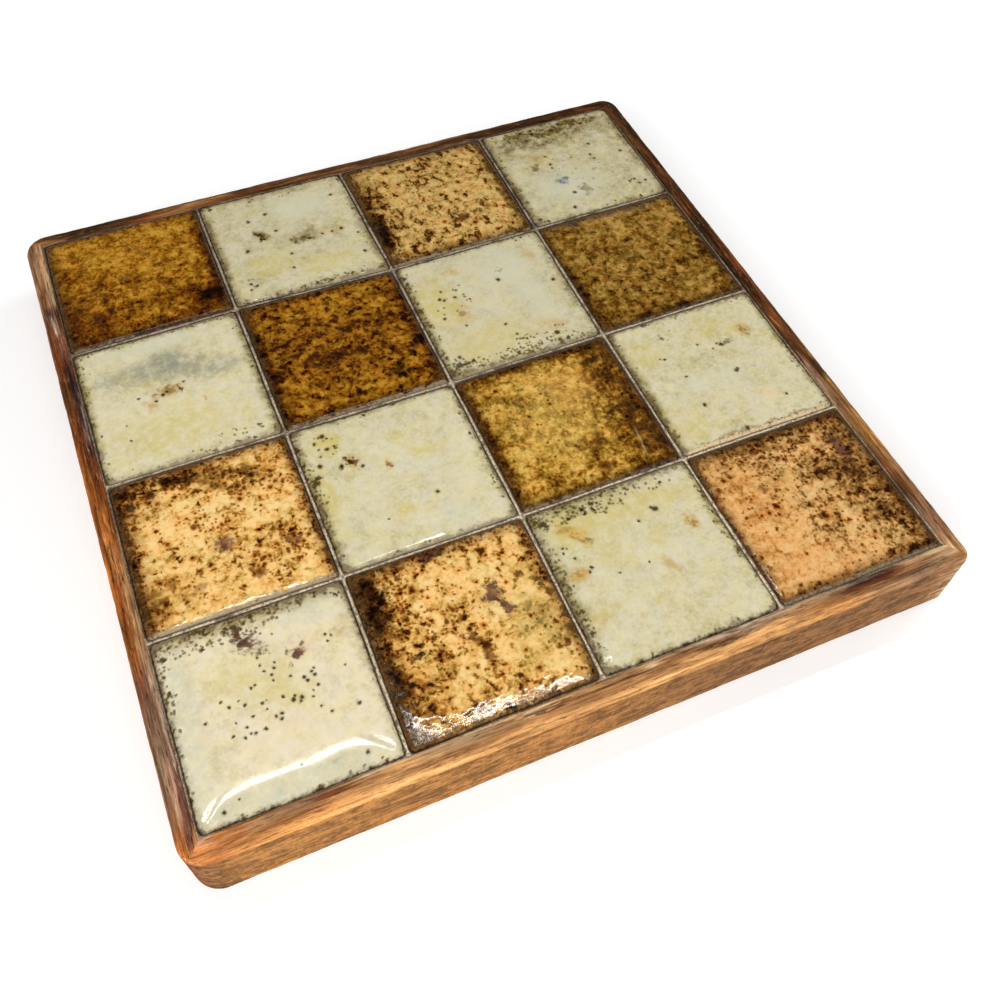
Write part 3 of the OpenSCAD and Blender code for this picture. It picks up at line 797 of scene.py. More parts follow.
class GlazePaint:
    """Paints one tile's glaze, layer over layer, into a material of its own."""

    def __init__(self, name, recipe, settings):
        self.material, g, place = new_material(name)
        self.g, self.place = g, place
        self.recipe, self.settings = recipe, settings
        self.kind = GLAZE_KINDS[recipe["kind"]]
        self.curdled = self.kind[-1]
        self.look = AMBER if self.curdled else PALE
        self.colours = palette(settings, GLAZE_COLOURS)
        self.halo_colour = opaque(settings.halo) if self.curdled else self.colours["olive"]
        self.spot_colour = opaque(settings.spot) if self.curdled else self.colours["iron"]

        cell = g.add("ShaderNodeUVMap", uv_map=PLACE_UV).outputs[0]
        self.rim, self.pit, self.side = map(g.number, ("rim", "pit", "inset"))
        slow = g.wobble(place, 4 * MM)
        quick = g.wobble(place, 1.2 * MM, 3, 0.6)
        bent = g.vector("MULTIPLY_ADD", slow, (0.09, 0.09, 0), cell)
        self.bent = g.vector("MULTIPLY_ADD", quick, (0.05, 0.05, 0), bent)
        self.near = g.vector("MULTIPLY_ADD", quick, (0.024, 0.024, 0), cell)
        self.cloud = g.noise(place, 9 * MM, 3, 0.55, 0.3)
        self.mottle = g.noise(place, 2.4 * MM, 3, 0.6, self.look.mottle_bend)
        self.fine = g.noise(place, 0.9 * MM, 3, 0.6, self.look.fine_bend)
        drawn = g.vector("MULTIPLY", place, recipe["drawn"])
        self.curd = g.noise(drawn, recipe["curd"] * MM, 2, 0.55, 0.2)

    def stain(self, share, under, over):
        """Spots cover the pale glaze and deepen the amber one."""
        return self.g.mix(share, under, over, self.look.blend)

    def base(self):
        """The glaze's own colour, from how thick it is and how it curdles, with a warm or cool cast."""
        g, recipe, look = self.g, self.recipe, self.look
        shown, cloudy, mottled, grained, curdled = self.kind
        tone = g.about(self.cloud, cloudy, 0.5 + recipe["bias"] + self.settings.thickness)
        tone = g.about(self.mottle, mottled * self.settings.mottle, tone)
        tone = g.about(self.fine, grained * self.settings.mottle, tone)
        for u, v, wide, deep, turn, amount in recipe["tones"]:
            area = g.area(self.bent, (u, v), (wide, deep), turn, amount * look.tone_share)
            tone = g.math("ADD", tone, area)
        if curdled:
            curdling = g.span(self.curd, 0.52, 0.64, 0, curdled)
            dark_spell = g.span(tone, 0.05, 0.60, 0.16, 0.46)
            tone = g.math("MULTIPLY_ADD", curdling, dark_spell, tone)
        stops = [(k / (len(shown) - 1), tint(*colour)) for k, colour in enumerate(shown)]
        colour = g.ramp(g.math("MULTIPLY", tone, 0.8), stops)
        hue = g.noise(self.place, 5 * MM, 4, 0.6, 0.3)
        cast = g.mix(g.span(hue, 0.36, 0.64), opaque(look.warm), opaque(look.cool))
        return g.mix(1.0, colour, cast, "MULTIPLY")

    def washes(self, colour):
        """Soft tints that follow the mottle."""
        g = self.g
        for u, v, wide, deep, turn, name, strength in self.recipe["washes"]:
            mask = g.area(self.bent, (u, v), (wide, deep), turn, strength)
            mask = g.math("MULTIPLY", mask, g.span(self.mottle, 0.35, 0.60, 0.45, 1.0))
            colour = g.mix(mask, colour, self.colours[name])
        return colour

    def blots(self, colour):
        """Ragged spots and feathering, each in its own place."""
        g = self.g
        broken_up = g.about(self.fine, 1.8, g.about(self.curd, 2.6, 0.0))
        for u, v, wide, deep, turn, name, strength in self.recipe["blots"]:
            away = g.math("ADD", g.away(self.bent, (u, v), (wide, deep), turn), broken_up)
            stains = self.curdled and name in STAINS
            own = STAINS[name] if stains else self.colours[name][:3]
            own = g.scaled(own, g.span(broken_up, -0.35, 0.2, 0.55, 1.3))
            share = g.span(away, 1.50, 0.50, 0, strength)
            colour = g.mix(share, colour, own, "MULTIPLY" if stains else "MIX")
        return colour

    def specks(self, colour):
        """Fine dark spots with halos, densest along the rim and in the recipe's areas."""
        g, look = self.g, self.look
        patchy = g.span(self.cloud, 0.38, 0.60, 0.35, 1.0)
        at_rim = g.span(self.side, 3.6, 0.8, look.inner_specks, look.rim_specks)
        density = g.math("MULTIPLY", at_rim, patchy)
        for u, v, wide, deep, turn, strength in self.recipe["specks"]:
            zone = g.area(self.bent, (u, v), (wide, deep), turn, strength, 1.3, 0.4)
            density = g.math("MAXIMUM", density, zone)
        small, small_halo = speck_layer(
            g, self.place, 1.1 * MM, g.math("MULTIPLY", density, 0.7), 0.40, self.fine)
        large, large_halo = speck_layer(
            g, self.place, 2.3 * MM, g.math("MULTIPLY", density, 0.5), 0.34, self.fine)
        faint = look.small_speck
        colour = self.stain(g.math("MULTIPLY", large_halo, faint), colour, self.halo_colour)
        round_small = g.math("MULTIPLY", g.math("MAXIMUM", small_halo, small), faint)
        colour = self.stain(round_small, colour, self.halo_colour)
        core = g.math("MAXIMUM", g.math("MULTIPLY", small, faint),
                      g.math("MULTIPLY", large, look.large_speck))
        return self.stain(core, colour, self.spot_colour)

    def dots(self, colour):
        """Single iron spots, from the distance to the nearest in shares of its radius."""
        g, look = self.g, self.look
        spotted = FAR
        for size in sorted({dot[2] for dot in self.recipe["dots"]}):
            nearest = FAR
            for u, v, own_size in self.recipe["dots"]:
                if own_size == size:
                    nearest = g.math("MINIMUM", nearest, g.apart(self.near, (u, v, 0)))
            spotted = g.math("MINIMUM", spotted, g.math("DIVIDE", nearest, size))
        halo = g.span(spotted, look.halo_reach, 0.7, 0, look.halo_share)
        colour = self.stain(halo, colour, self.halo_colour)
        dot = g.span(spotted, 1.05, 0.55)
        return self.stain(g.math("MULTIPLY", dot, 0.88), colour, self.spot_colour)

    def scratches(self, colour):
        for u, v, wide, long, turn, name in self.recipe["scratches"]:
            line = self.g.area(self.near, (u, v), (wide, long), turn, 0.55, 1.1, 0.7)
            colour = self.g.mix(line, colour, self.colours[name])
        return colour

    def edges(self, colour):
        """A shadow, a dark margin and the near-black, pitted rim."""
        g, look = self.g, self.look
        ragged = g.about(self.fine, 2.4, g.about(self.curd, 3.2, self.side))
        shadow = g.span(ragged, look.shadow_reach, 0.6, 0, look.shadow_share)
        colour = self.stain(shadow, colour, self.spot_colour if self.curdled else self.halo_colour)
        self.margin = g.span(ragged, 1.3, 0.3)
        brown = g.span(self.fine, 0.38, 0.56)
        margin_colour = g.mix(brown, self.colours["iron"], self.colours["umber"])
        colour = g.mix(g.math("MULTIPLY", self.margin, look.margin_share), colour, margin_colour)
        edge = g.span(g.about(self.fine, 1.1 * MM, self.rim), 0.50 * MM, 0.10 * MM)
        self.edge = g.math("MAXIMUM", edge, g.math("MULTIPLY", self.pit, 0.8))
        shade = g.math("MULTIPLY", self.edge, g.span(self.curd, 0.40, 0.60, 0.95, 0.5))
        return g.mix(shade, colour, self.colours["iron"])

    def skirt(self, colour):
        """The pale foot of the front edge, partly bare clay and partly a painted sheen."""
        g = self.g
        deep, name, strength = self.recipe["skirt"]
        reach = g.add("ShaderNodeSeparateXYZ", {0: self.near}).outputs[1]
        reach = g.about(self.curd, 0.045, g.about(self.fine, 0.03, reach))
        skirt = g.span(reach, deep + 0.006, deep - 0.008, 0, strength)
        skirt = g.math("MULTIPLY", skirt, g.span(self.fine, 0.60, 0.50, 0.2, 1.0))
        return g.mix(skirt, colour, self.colours[name])

    def finish(self, colour):
        """Glossy glaze with a faint relief, duller and rougher at its edges."""
        g = self.g
        dull = g.math("MAXIMUM", self.edge, g.math("MULTIPLY", self.margin, 0.4))
        least = self.recipe["rough"]
        rough = g.span(self.mottle, 0.3, 0.7, least, least + 0.04, "LINEAR")
        rough = g.math("MULTIPLY_ADD", dull, 0.22, rough)
        height = g.math("MULTIPLY_ADD", self.mottle, 0.6, g.math("MULTIPLY", self.fine, 0.12))
        height = g.math("MULTIPLY_ADD", dull, g.math("MULTIPLY", self.fine, 3.0), height)
        finish_material(g, colour, rough, height, 0.022 * MM, g.span(dull, 0, 1, 0.35, 0.12))


def glaze(name, recipe, settings):
    """The material of one tile's glaze."""
    paint = GlazePaint(name, recipe, settings)
    colour = paint.base()
    for layer in (paint.washes, paint.blots, paint.specks, paint.dots, paint.scratches,
                  paint.edges, paint.skirt):
        colour = layer(colour)
    paint.finish(colour)
    return paint.material


def tile_tree():
    """Geometry nodes that raise a flat blank into a crowned, swelling tile with a pitted rim."""
    tree = bpy.data.node_groups.new("raise_tile", "GeometryNodeTree")
    sizes = ("Edge Drop", "Crown", "Swell", "Swell Size", "Pit Depth", "Pit Size", "Pit Band",
             "Ripple", "Seed Offset")
    tree.interface.new_socket("Geometry", in_out="INPUT", socket_type="NodeSocketGeometry")
    for name in sizes:
        tree.interface.new_socket(name, in_out="INPUT", socket_type="NodeSocketFloat")
    tree.interface.new_socket("Glaze", in_out="INPUT", socket_type="NodeSocketMaterial")
    tree.interface.new_socket("Geometry", in_out="OUTPUT", socket_type="NodeSocketGeometry")
    g = Graph(tree)
    given = g.add("NodeGroupInput").outputs

    def named(name):
        return g.add("GeometryNodeInputNamedAttribute", {"Name": name}).outputs[0]

    def lower(height, amount, share):
        return g.math("SUBTRACT", height, g.math("MULTIPLY", amount, share))

    rim, inward, fall, relief, upper, broken = map(
        named, ("rim", "inward", "fall", "relief", "upper", "broken"))
    spot = g.add("GeometryNodeInputPosition").outputs[0]
    apart = g.add("ShaderNodeCombineXYZ", {2: given["Seed Offset"]}).outputs[0]
    place = g.vector("ADD", spot, apart)

    outward = g.math("SUBTRACT", 1, inward)
    rise = g.math("SQRT", g.math("SUBTRACT", 1, g.math("MULTIPLY", outward, outward)))
    height = lower(relief, g.math("SUBTRACT", 1, rise), given["Edge Drop"])
    height = lower(height, fall, given["Crown"])

    swell_scale = g.math("DIVIDE", 1, given["Swell Size"])
    swell = g.add("ShaderNodeTexNoise", {"Vector": place, "Scale": swell_scale, "Detail": 2.0})
    swell = g.math("MULTIPLY", g.about(swell.outputs[0], 2.0), given["Swell"])
    height = g.math("MULTIPLY_ADD", swell, g.span(rim, 0, 4 * MM), height)
    wave = g.math("MINIMUM", g.math("SUBTRACT", g.noise(place, 4.2 * MM, 3, 0.6), 0.50), 0)
    wave = g.math("MULTIPLY", g.math("MULTIPLY", wave, given["Ripple"]), g.span(rim, 0, 1 * MM))
    height = g.math("MULTIPLY_ADD", wave, broken, height)

    pits = g.add("ShaderNodeTexVoronoi", {
        "Vector": place, "Scale": g.math("DIVIDE", 1, given["Pit Size"])}).outputs["Distance"]
    band = g.span(rim, given["Pit Band"], 0.15 * MM)
    some = g.span(g.noise(place, 2.0 * MM, 1), 0.42, 0.58)
    pit = g.math("MULTIPLY", g.span(pits, 0.45, 0.15), g.math("MULTIPLY", band, some))
    height = lower(height, pit, given["Pit Depth"])
    height = g.math("MINIMUM", height, 0.0)

    move = g.add("ShaderNodeCombineXYZ", {2: g.math("MULTIPLY", height, upper)}).outputs[0]
    moved = g.add("GeometryNodeSetPosition", {"Geometry": given["Geometry"], "Offset": move})
    kept = g.add("GeometryNodeStoreNamedAttribute", {
        "Geometry": moved.outputs[0], "Name": "pit", "Value": pit}, data_type="FLOAT")
    real = g.add("GeometryNodeRealizeInstances", {"Geometry": kept.outputs[0]})
    dressed = g.add("GeometryNodeSetMaterial", {
        "Geometry": real.outputs[0], "Material": given["Glaze"]})
    g.add("NodeGroupOutput", {"Geometry": dressed.outputs[0]})
    return tree


def run_tree(piece, tree, values):
    """Runs a node tree on a piece and keeps the result as a plain mesh."""
    modifier = piece.modifiers.new("shape", "NODES")
    modifier.node_group = tree
    for item in tree.interface.items_tree:
        if item.in_out == "INPUT" and item.name in values:
            modifier[item.identifier] = values[item.name]
    piece.data.update()
    graph = bpy.context.evaluated_depsgraph_get()
    mesh = bpy.data.meshes.new_from_object(piece.evaluated_get(graph))
    piece.modifiers.remove(modifier)
    blank = piece.data
    piece.data = mesh
    mesh.name = piece.name
    bpy.data.meshes.remove(blank)


# The fall of a facet in which the camera sees the strip light, at a front tile's front edge and
# how it grows towards the back, over the depth of the tile
FACET_SLOPE = 0.0178
FACET_BEND = 0.1157
# How much closer together the rings of a tile are at its rim
RING_CROWDING = 1.3
# How far in from the rim the margins bend round a tile's corners, in widths of the margins
MARGIN_BEND = 3.8
# Where a tile's rim lies in its cell, and over how much of the cell a slope fades at its ends
CELL_EDGE = 0.008
SLOPE_FADE = 0.03
# How far below the rim the upright wall starts
WALL_ROOM = 0.8 * MM


def ring_grid(steps):
    """A square grid taken as rings: angles, shares of the way out, and places from -1 to 1."""
    index = np.arange(-steps, steps + 1)
    gx, gy = np.meshgrid(index, index)
    ring = np.maximum(abs(gx), abs(gy))
    share = 1 - (1 - ring / steps) ** RING_CROWDING
    x = share * gx / np.maximum(ring, 1)
    y = share * gy / np.maximum(ring, 1)
    return np.arctan2(gy, gx), share, x, y


def blank_mesh(outline, angle, share, shoulder):
    """Points and faces of a flat top, its upright wall and the fan that closes its foot."""
    arm = share * outline.reach(angle)
    flat = np.stack([outline.middle[0] + arm * np.cos(angle),
                     outline.middle[1] + arm * np.sin(angle)], -1)
    count = len(flat)
    last = count - 1
    points = [(*p, outline.top) for p in flat.reshape(-1, 2)]
    faces = []
    for j in range(last):
        for i in range(last):
            a = j * count + i
            faces.append((a, a + 1, a + count + 1, a + count))
    around = list(range(last))
    around += [j * count + last for j in range(last)]
    around += [last * count + i for i in range(last, 0, -1)]
    around += [j * count for j in range(last, 0, -1)]
    upper_ring = around
    for height in (shoulder, outline.foot):
        start = len(points)
        points += [(*points[k][:2], height) for k in around]
        for k in range(len(around)):
            after = (k + 1) % len(around)
            faces.append((upper_ring[after], upper_ring[k], start + k, start + after))
        upper_ring = [start + k for k in range(len(around))]
    points.append((*outline.middle, outline.foot))
    for k in range(len(around)):
        faces.append((upper_ring[(k + 1) % len(around)], upper_ring[k], len(points) - 1))
    return points, faces


def front_relief(recipe, u, v, depth):
    """How far the slope or the facet of a recipe lowers the tile's top, below zero."""
    relief = np.zeros(u.shape)
    if recipe["slope"]:
        crest, scallop, start, end, reach, tilt, curve = recipe["slope"]
        crest = crest + scallop * abs(np.sin(3 * np.pi * u))
        fade = np.clip((u - start) / SLOPE_FADE, 0, 1) * np.clip((end - u) / SLOPE_FADE, 0, 1)
        down = np.clip(crest - v, 0, reach) * depth
        relief = -(tilt * down + curve / MM * down ** 2) * fade
    if recipe["facet"]:
        crest = np.interp(u, *zip(*recipe["facet"]))
        level = FACET_SLOPE * (crest - v) + FACET_BEND / 2 * (crest ** 2 - v ** 2)
        relief = -np.where(v < crest, level, 0) * depth
    return relief


def broken_share(recipe, u, v):
    """How broken the glaze is: most along the front, and at the left in the tile's front half."""
    deep, wide = recipe["ripple"]
    if not deep:
        return np.zeros(u.shape)
    return np.sqrt(np.clip(np.maximum(1 - v / deep, (1 - u / wide) * (v < 0.5)), 0, 1))


def margin_inset(recipe, u, v):
    """How far in from the rim a place is, in widths of the dark margins."""
    left, right, front, back = recipe["margins"]
    across = np.minimum((u - CELL_EDGE) / left, (1 - CELL_EDGE - u) / right)
    along = np.minimum((v - CELL_EDGE) / front, (1 - CELL_EDGE - v) / back)
    return MARGIN_BEND - np.hypot(np.clip(MARGIN_BEND - across, 0, None),
                                  np.clip(MARGIN_BEND - along, 0, None))


def blank_tile(name, outline, col, row, settings, recipe):
    """A flat-topped tile with the numbers that the tile tree reads to raise it."""
    low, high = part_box("tile_adhesive")
    pitch = np.array([(high[0] - low[0]) / COLUMNS, (high[1] - low[1]) / ROWS])
    corner = np.array([low[0], low[1]]) + pitch * np.array([col, row])
    angle, share, x, y = ring_grid(settings.half_steps)
    shoulder = outline.top - settings.crown - settings.edge_drop - WALL_ROOM
    points, faces = blank_mesh(outline, angle, share, shoulder)
    piece = new_piece(name, points, faces)
    cell = (np.array(points)[:, :2] - corner) / pitch
    give_places(piece.data, cell)
    u, v = cell[:x.size].T.reshape(2, *x.shape)

    def give(name, values, beyond=0.0):
        """Gives the top its values, and the wall and the foot one value."""
        rest = np.full(len(points) - x.size, beyond)
        give_number(piece.data, name, np.concatenate([values.ravel(), rest]))

    gap_x = (1 - abs(x)) * outline.half[0]
    gap_y = (1 - abs(y)) * outline.half[1]
    side_share = np.clip(gap_x / settings.edge_width, 0, 1)
    end_share = np.clip(gap_y / np.where(y < 0, recipe["lip"] * MM, settings.edge_width), 0, 1)
    bulge = recipe["bulge"]
    give("rim", np.minimum(gap_x, gap_y))
    give("inward", np.clip(1 - np.hypot(1 - side_share, 1 - end_share), 0, 1))
    give("fall", 1 - (1 - abs(x) ** bulge) * (1 - abs(y) ** bulge), 1.0)
    give("upper", np.ones(x.shape))
    give("inset", margin_inset(recipe, u, v))
    give("relief", front_relief(recipe, u, v, pitch[1]))
    give("broken", broken_share(recipe, u, v))
    return piece


class TRIVET_OT_tiles(bpy.types.Operator):
    """Models and glazes the sixteen tiles"""
    bl_idname = "trivet.tiles"
    bl_label = "Glazed tiles"

    def execute(self, context):
        settings = context.scene.trivet_tiles
        tree = tile_tree()
        for (row, col), recipe in TILES.items():
            node = f"tile_r{row}_c{col}"
            outline = TileOutline(node)
            piece = blank_tile(f"glazed_{node}", outline, col - 1, row - 1, settings, recipe)
            run_tree(piece, tree, {
                "Edge Drop": settings.edge_drop, "Crown": settings.crown,
                "Swell": settings.swell * recipe["swell"], "Swell Size": settings.swell_size,
                "Pit Depth": settings.pit_depth, "Pit Size": settings.pit_size,
                "Pit Band": settings.pit_band, "Ripple": settings.ripple,
                "Seed Offset": 0.1 * (row * COLUMNS + col),
                "Glaze": glaze(f"glaze_r{row}_c{col}", recipe, settings)})
            dress(piece, node)
        return {"FINISHED"}


def grout_material(settings):
    material, g, place = new_material("sanded_grout")
    inward = g.number("inward")
    light, dirt_and_shade = opaque(settings.light), opaque(settings.dirt_and_shade)
    sand = g.noise(place, 0.35 * MM, 3, 0.7)
    stains = g.noise(place, 7 * MM, 4, 0.65)
    bits = g.noise(place, 0.9 * MM, 3, 0.65)
    colour = g.mix(g.span(stains, 0.48, 0.64, 0, 0.70), light, dirt_and_shade)
    colour = g.mix(g.span(bits, 0.50, 0.62, 0, 0.75), colour, dirt_and_shade)
    colour = g.mix(g.span(sand, 0.40, 0.7, 0, 0.30), colour, dirt_and_shade)
    # Darker next to each tile: dirt, and painted shade in the crevice at the tile's wall
    colour = g.mix(g.span(g.about(bits, 2.4, inward), 0.70, 0.20, 0, 0.90), colour, dirt_and_shade)
    # Painted light at the front and painted shade at the back: the grout's colour is scaled from front
    # to back
    depth = g.add("ShaderNodeSeparateXYZ", {0: place}).outputs[1]
    tone = g.span(depth, -0.1, 0.1, settings.front_painted_light, settings.back_painted_shade, "LINEAR")
    colour = g.scaled(colour, tone)
    height = g.math("MULTIPLY_ADD", sand, 0.6, bits)
    finish_material(g, colour, g.span(bits, 0.3, 0.7, 0.75, 0.95, "LINEAR"), height, 0.2 * MM, 0.2)
    return material


def joint_crossings(outlines):
    """Where the joints cross, from the corners of the tiles round each crossing."""
    low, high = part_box("grout")
    places = np.zeros((ROWS + 1, COLUMNS + 1, 2))
    for row in range(ROWS + 1):
        for col in range(COLUMNS + 1):
            near = []
            for side_y in (0, 1):
                for side_x in (0, 1):
                    tile = outlines.get((row + side_y, col + side_x))
                    if tile:
                        angle = math.atan2(1 - 2 * side_y, 1 - 2 * side_x)
                        arm = tile.reach(np.array([angle]))[0]
                        near.append(tile.middle + arm * np.array([math.cos(angle), math.sin(angle)]))
            places[row, col] = np.mean(near, 0)
    places[0, :, 1] = low[1]
    places[-1, :, 1] = high[1]
    places[:, 0, 0] = low[0]
    places[:, -1, 0] = high[0]
    return places


# Points along each side of a cell, and rings from its tile to the middle of its joints
JOINT_STEPS = 80
JOINT_RINGS = 6
# How far the grout reaches under a tile's edge
GROUT_OVERLAP = 0.02 * MM
GROUT_WELD = 2e-6


def cell_rings(tile, quad):
    """A cell's boundary in the middle of its joints and, inside it, the outline of its tile."""
    outer, inner = [], []
    for k in range(4):
        a, b = quad[k], quad[(k + 1) % 4]
        for step in range(JOINT_STEPS):
            spot = a + (b - a) * step / JOINT_STEPS
            arm = spot - tile.middle
            angle = math.atan2(arm[1], arm[0])
            reach = tile.reach(np.array([angle]))[0] - GROUT_OVERLAP
            outer.append(spot)
            inner.append(tile.middle + reach * np.array([math.cos(angle), math.sin(angle)]))
    return np.array(outer), np.array(inner)


def grout_height(flat, share, top, settings):
    """Lumpy grout that sinks towards the middle of its joint."""
    solid = np.column_stack([flat, np.zeros(len(flat))])
    lumps = lattice_noise(solid, 2.4 * MM, 5) + 0.5 * lattice_noise(solid, 0.8 * MM, 6)
    lumpy = top + settings.unevenness * (lumps - 1.2) * 0.5
    return lumpy - settings.hollow * (1 - (1 - share) ** 2)


def grout_mesh(settings):
    """Points and faces of the lattice, and how far each point is towards the middle of its joint."""
    low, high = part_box("grout")
    outlines = {(r, c): TileOutline(f"tile_r{r}_c{c}") for r, c in TILES}
    crossings = joint_crossings(outlines)
    points, faces, inward = [], [], []
    for (row, col), tile in outlines.items():
        quad = [crossings[row - 1, col - 1], crossings[row - 1, col],
                crossings[row, col], crossings[row, col - 1]]
        outer, inner = cell_rings(tile, quad)
        count = len(outer)
        start = len(points)
        for level in range(JOINT_RINGS + 1):
            share = level / JOINT_RINGS
            flat = inner + (outer - inner) * share
            points += [(*p, h) for p, h in zip(flat, grout_height(flat, share, high[2], settings))]
            inward += [share] * count
        points += [(*p, low[2]) for p in outer]
        points += [(*p, low[2]) for p in inner]
        inward += [1.0] * count + [0.0] * count
        rings = JOINT_RINGS + 3
        at_frame = (row == 1, col == COLUMNS, row == ROWS, col == 1)
        for ring in range(rings):
            for k in range(count):
                if ring == JOINT_RINGS and not at_frame[k // JOINT_STEPS]:
                    continue
                a, b = start + ring * count, start + (ring + 1) % rings * count
                after = (k + 1) % count
                faces.append((a + k, b + k, b + after, a + after))
    return points, faces, inward


class TRIVET_OT_grout(bpy.types.Operator):
    """Models the sunken, uneven grout in the joints"""
    bl_idname = "trivet.grout"
    bl_label = "Grout"

    def execute(self, context):
        settings = context.scene.trivet_grout
        points, faces, inward = grout_mesh(settings)
        piece = new_piece("grout_lattice", points, faces, grout_material(settings))
        give_number(piece.data, "inward", inward)
        weld(piece, GROUT_WELD)
        dress(piece, "grout")
        return {"FINISHED"}


def weld(piece, distance):
    """Merges the doubled points of a piece."""
    work = bmesh.new()
    work.from_mesh(piece.data)
    bmesh.ops.remove_doubles(work, verts=work.verts, dist=distance)
    bmesh.ops.recalc_face_normals(work, faces=work.faces)
    work.to_mesh(piece.data)
    work.free()
    piece.data.shade_smooth()


# Each strip's wood, looked at from its outside: how its colour runs along its face, along the outer
# half of its top and along the inner half, as shares of its length from its left end.
WOOD_RUNS = {
    "front": (
        ((0, "rust"), (.012, "brown"), (.04, "sawn"), (.45, "sawn"), (.62, "brown"),
         (.96, "brown"), (.985, "tan"), (1, "pale")),
        ((0, "ember"), (.04, "ember"), (.08, "orange"), (.15, "orange"), (.22, "gold"),
         (.74, "gold"), (.81, "orange"), (.86, "tan"), (.93, "fawn"), (1, "tan")),
        ((0, "ember"), (.03, "ember"), (.07, "tan"), (.14, "fawn"), (.18, "tan"), (.24, "gold"),
         (.32, "pale"), (.42, "gold"), (.50, "tan"), (.60, "tan"), (.68, "fawn"), (.78, "tan"),
         (.83, "fawn"), (.86, "purple"), (.905, "purple"), (.93, "tan"), (1, "pale"))),
    "right": (
        ((0, "sawn"), (.4, "brown"), (1, "earth")),
        ((0, "tan"), (.05, "fawn"), (.20, "sawn"), (.26, "brown"), (.34, "brown"),
         (.40, "earth"), (.46, "earth"), (.55, "rust"), (.62, "deep"), (.70, "earth"),
         (.80, "deep"), (1, "deep")),
        ((0, "tan"), (.06, "fawn"), (.10, "earth"), (.22, "brown"), (.30, "fawn"),
         (.37, "earth"), (.44, "earth"), (.50, "deep"), (.54, "dark"), (.80, "deep"),
         (.88, "earth"), (1, "earth"))),
    "back": (
        ((0, "earth"), (.5, "brown"), (1, "brown")),
        ((0, "deep"), (.16, "deep"), (.26, "earth"), (.34, "brown"), (.44, "earth"),
         (.68, "earth"), (.76, "brown"), (.83, "earth"), (.87, "deep"), (.95, "deep"),
         (1, "brown")),
        ((0, "deep"), (.18, "deep"), (.36, "earth"), (.50, "earth"), (.66, "earth"),
         (.78, "brown"), (.83, "rust"), (.87, "deep"), (.95, "deep"), (1, "brown"))),
    "left": (
        ((0, "brown"), (.3, "brown"), (.6, "sawn"), (.94, "sawn"), (.98, "burnt"),
         (1, "rust")),
        ((0, "brown"), (.05, "fawn"), (.12, "brown"), (.16, "mauve"), (.25, "rust"),
         (.32, "earth"), (.40, "rust"), (.50, "burnt"), (.74, "burnt"), (.80, "mauve"),
         (.86, "fawn"), (.94, "fawn"), (.98, "burnt"), (1, "ember")),
        ((0, "fawn"), (.06, "tan"), (.13, "fawn"), (.155, "purple"), (.22, "mauve"),
         (.28, "purple"), (.42, "purple"), (.47, "rust"), (.52, "burnt"), (.58, "burnt"),
         (.66, "tan"), (.74, "tan"), (.79, "fawn"), (.85, "fawn"), (.90, "mauve"),
         (.985, "mauve"), (1, "ember"))),
}
# Spots on the strips: place along and inwards, half sizes, colour, strength
WOOD_SPOTS = {
    "front": [(.165, .72, .035, .16, "rust", .85), (.42, .74, .05, .07, "purple", .75),
              (.53, .64, .07, .05, "purple", .65), (.64, .62, .05, .05, "dark", .6),
              (.865, .62, .045, .14, "purple", .9), (.78, .93, .14, .10, "smear", .2),
              (.25, .95, .05, .08, "smear", .7), (.93, .42, .03, .06, "dark", .5),
              (.30, .40, .03, .05, "rust", .7), (.045, .55, .02, .10, "rust", .6)],
    "right": [(.33, .30, .03, .25, "dark", .8), (.53, .45, .02, .3, "dark", .8),
              (.44, .6, .03, .2, "rust", .5)],
    "back": [(.27, .6, .05, .3, "dark", .6)],
    "left": [(.10, .88, .05, .10, "pale", .9), (.19, .60, .02, .20, "smear", .5),
             (.48, .60, .05, .12, "dark", .8), (.87, .92, .06, .08, "smear", .7),
             (.30, .35, .03, .10, "burnt", .7), (.60, .35, .05, .10, "orange", .5)],
}
# How much grout is smeared along the inner edge of each strip
SMEARS = {"front": 0.55, "right": 0.0, "back": 0.0, "left": 0.2}


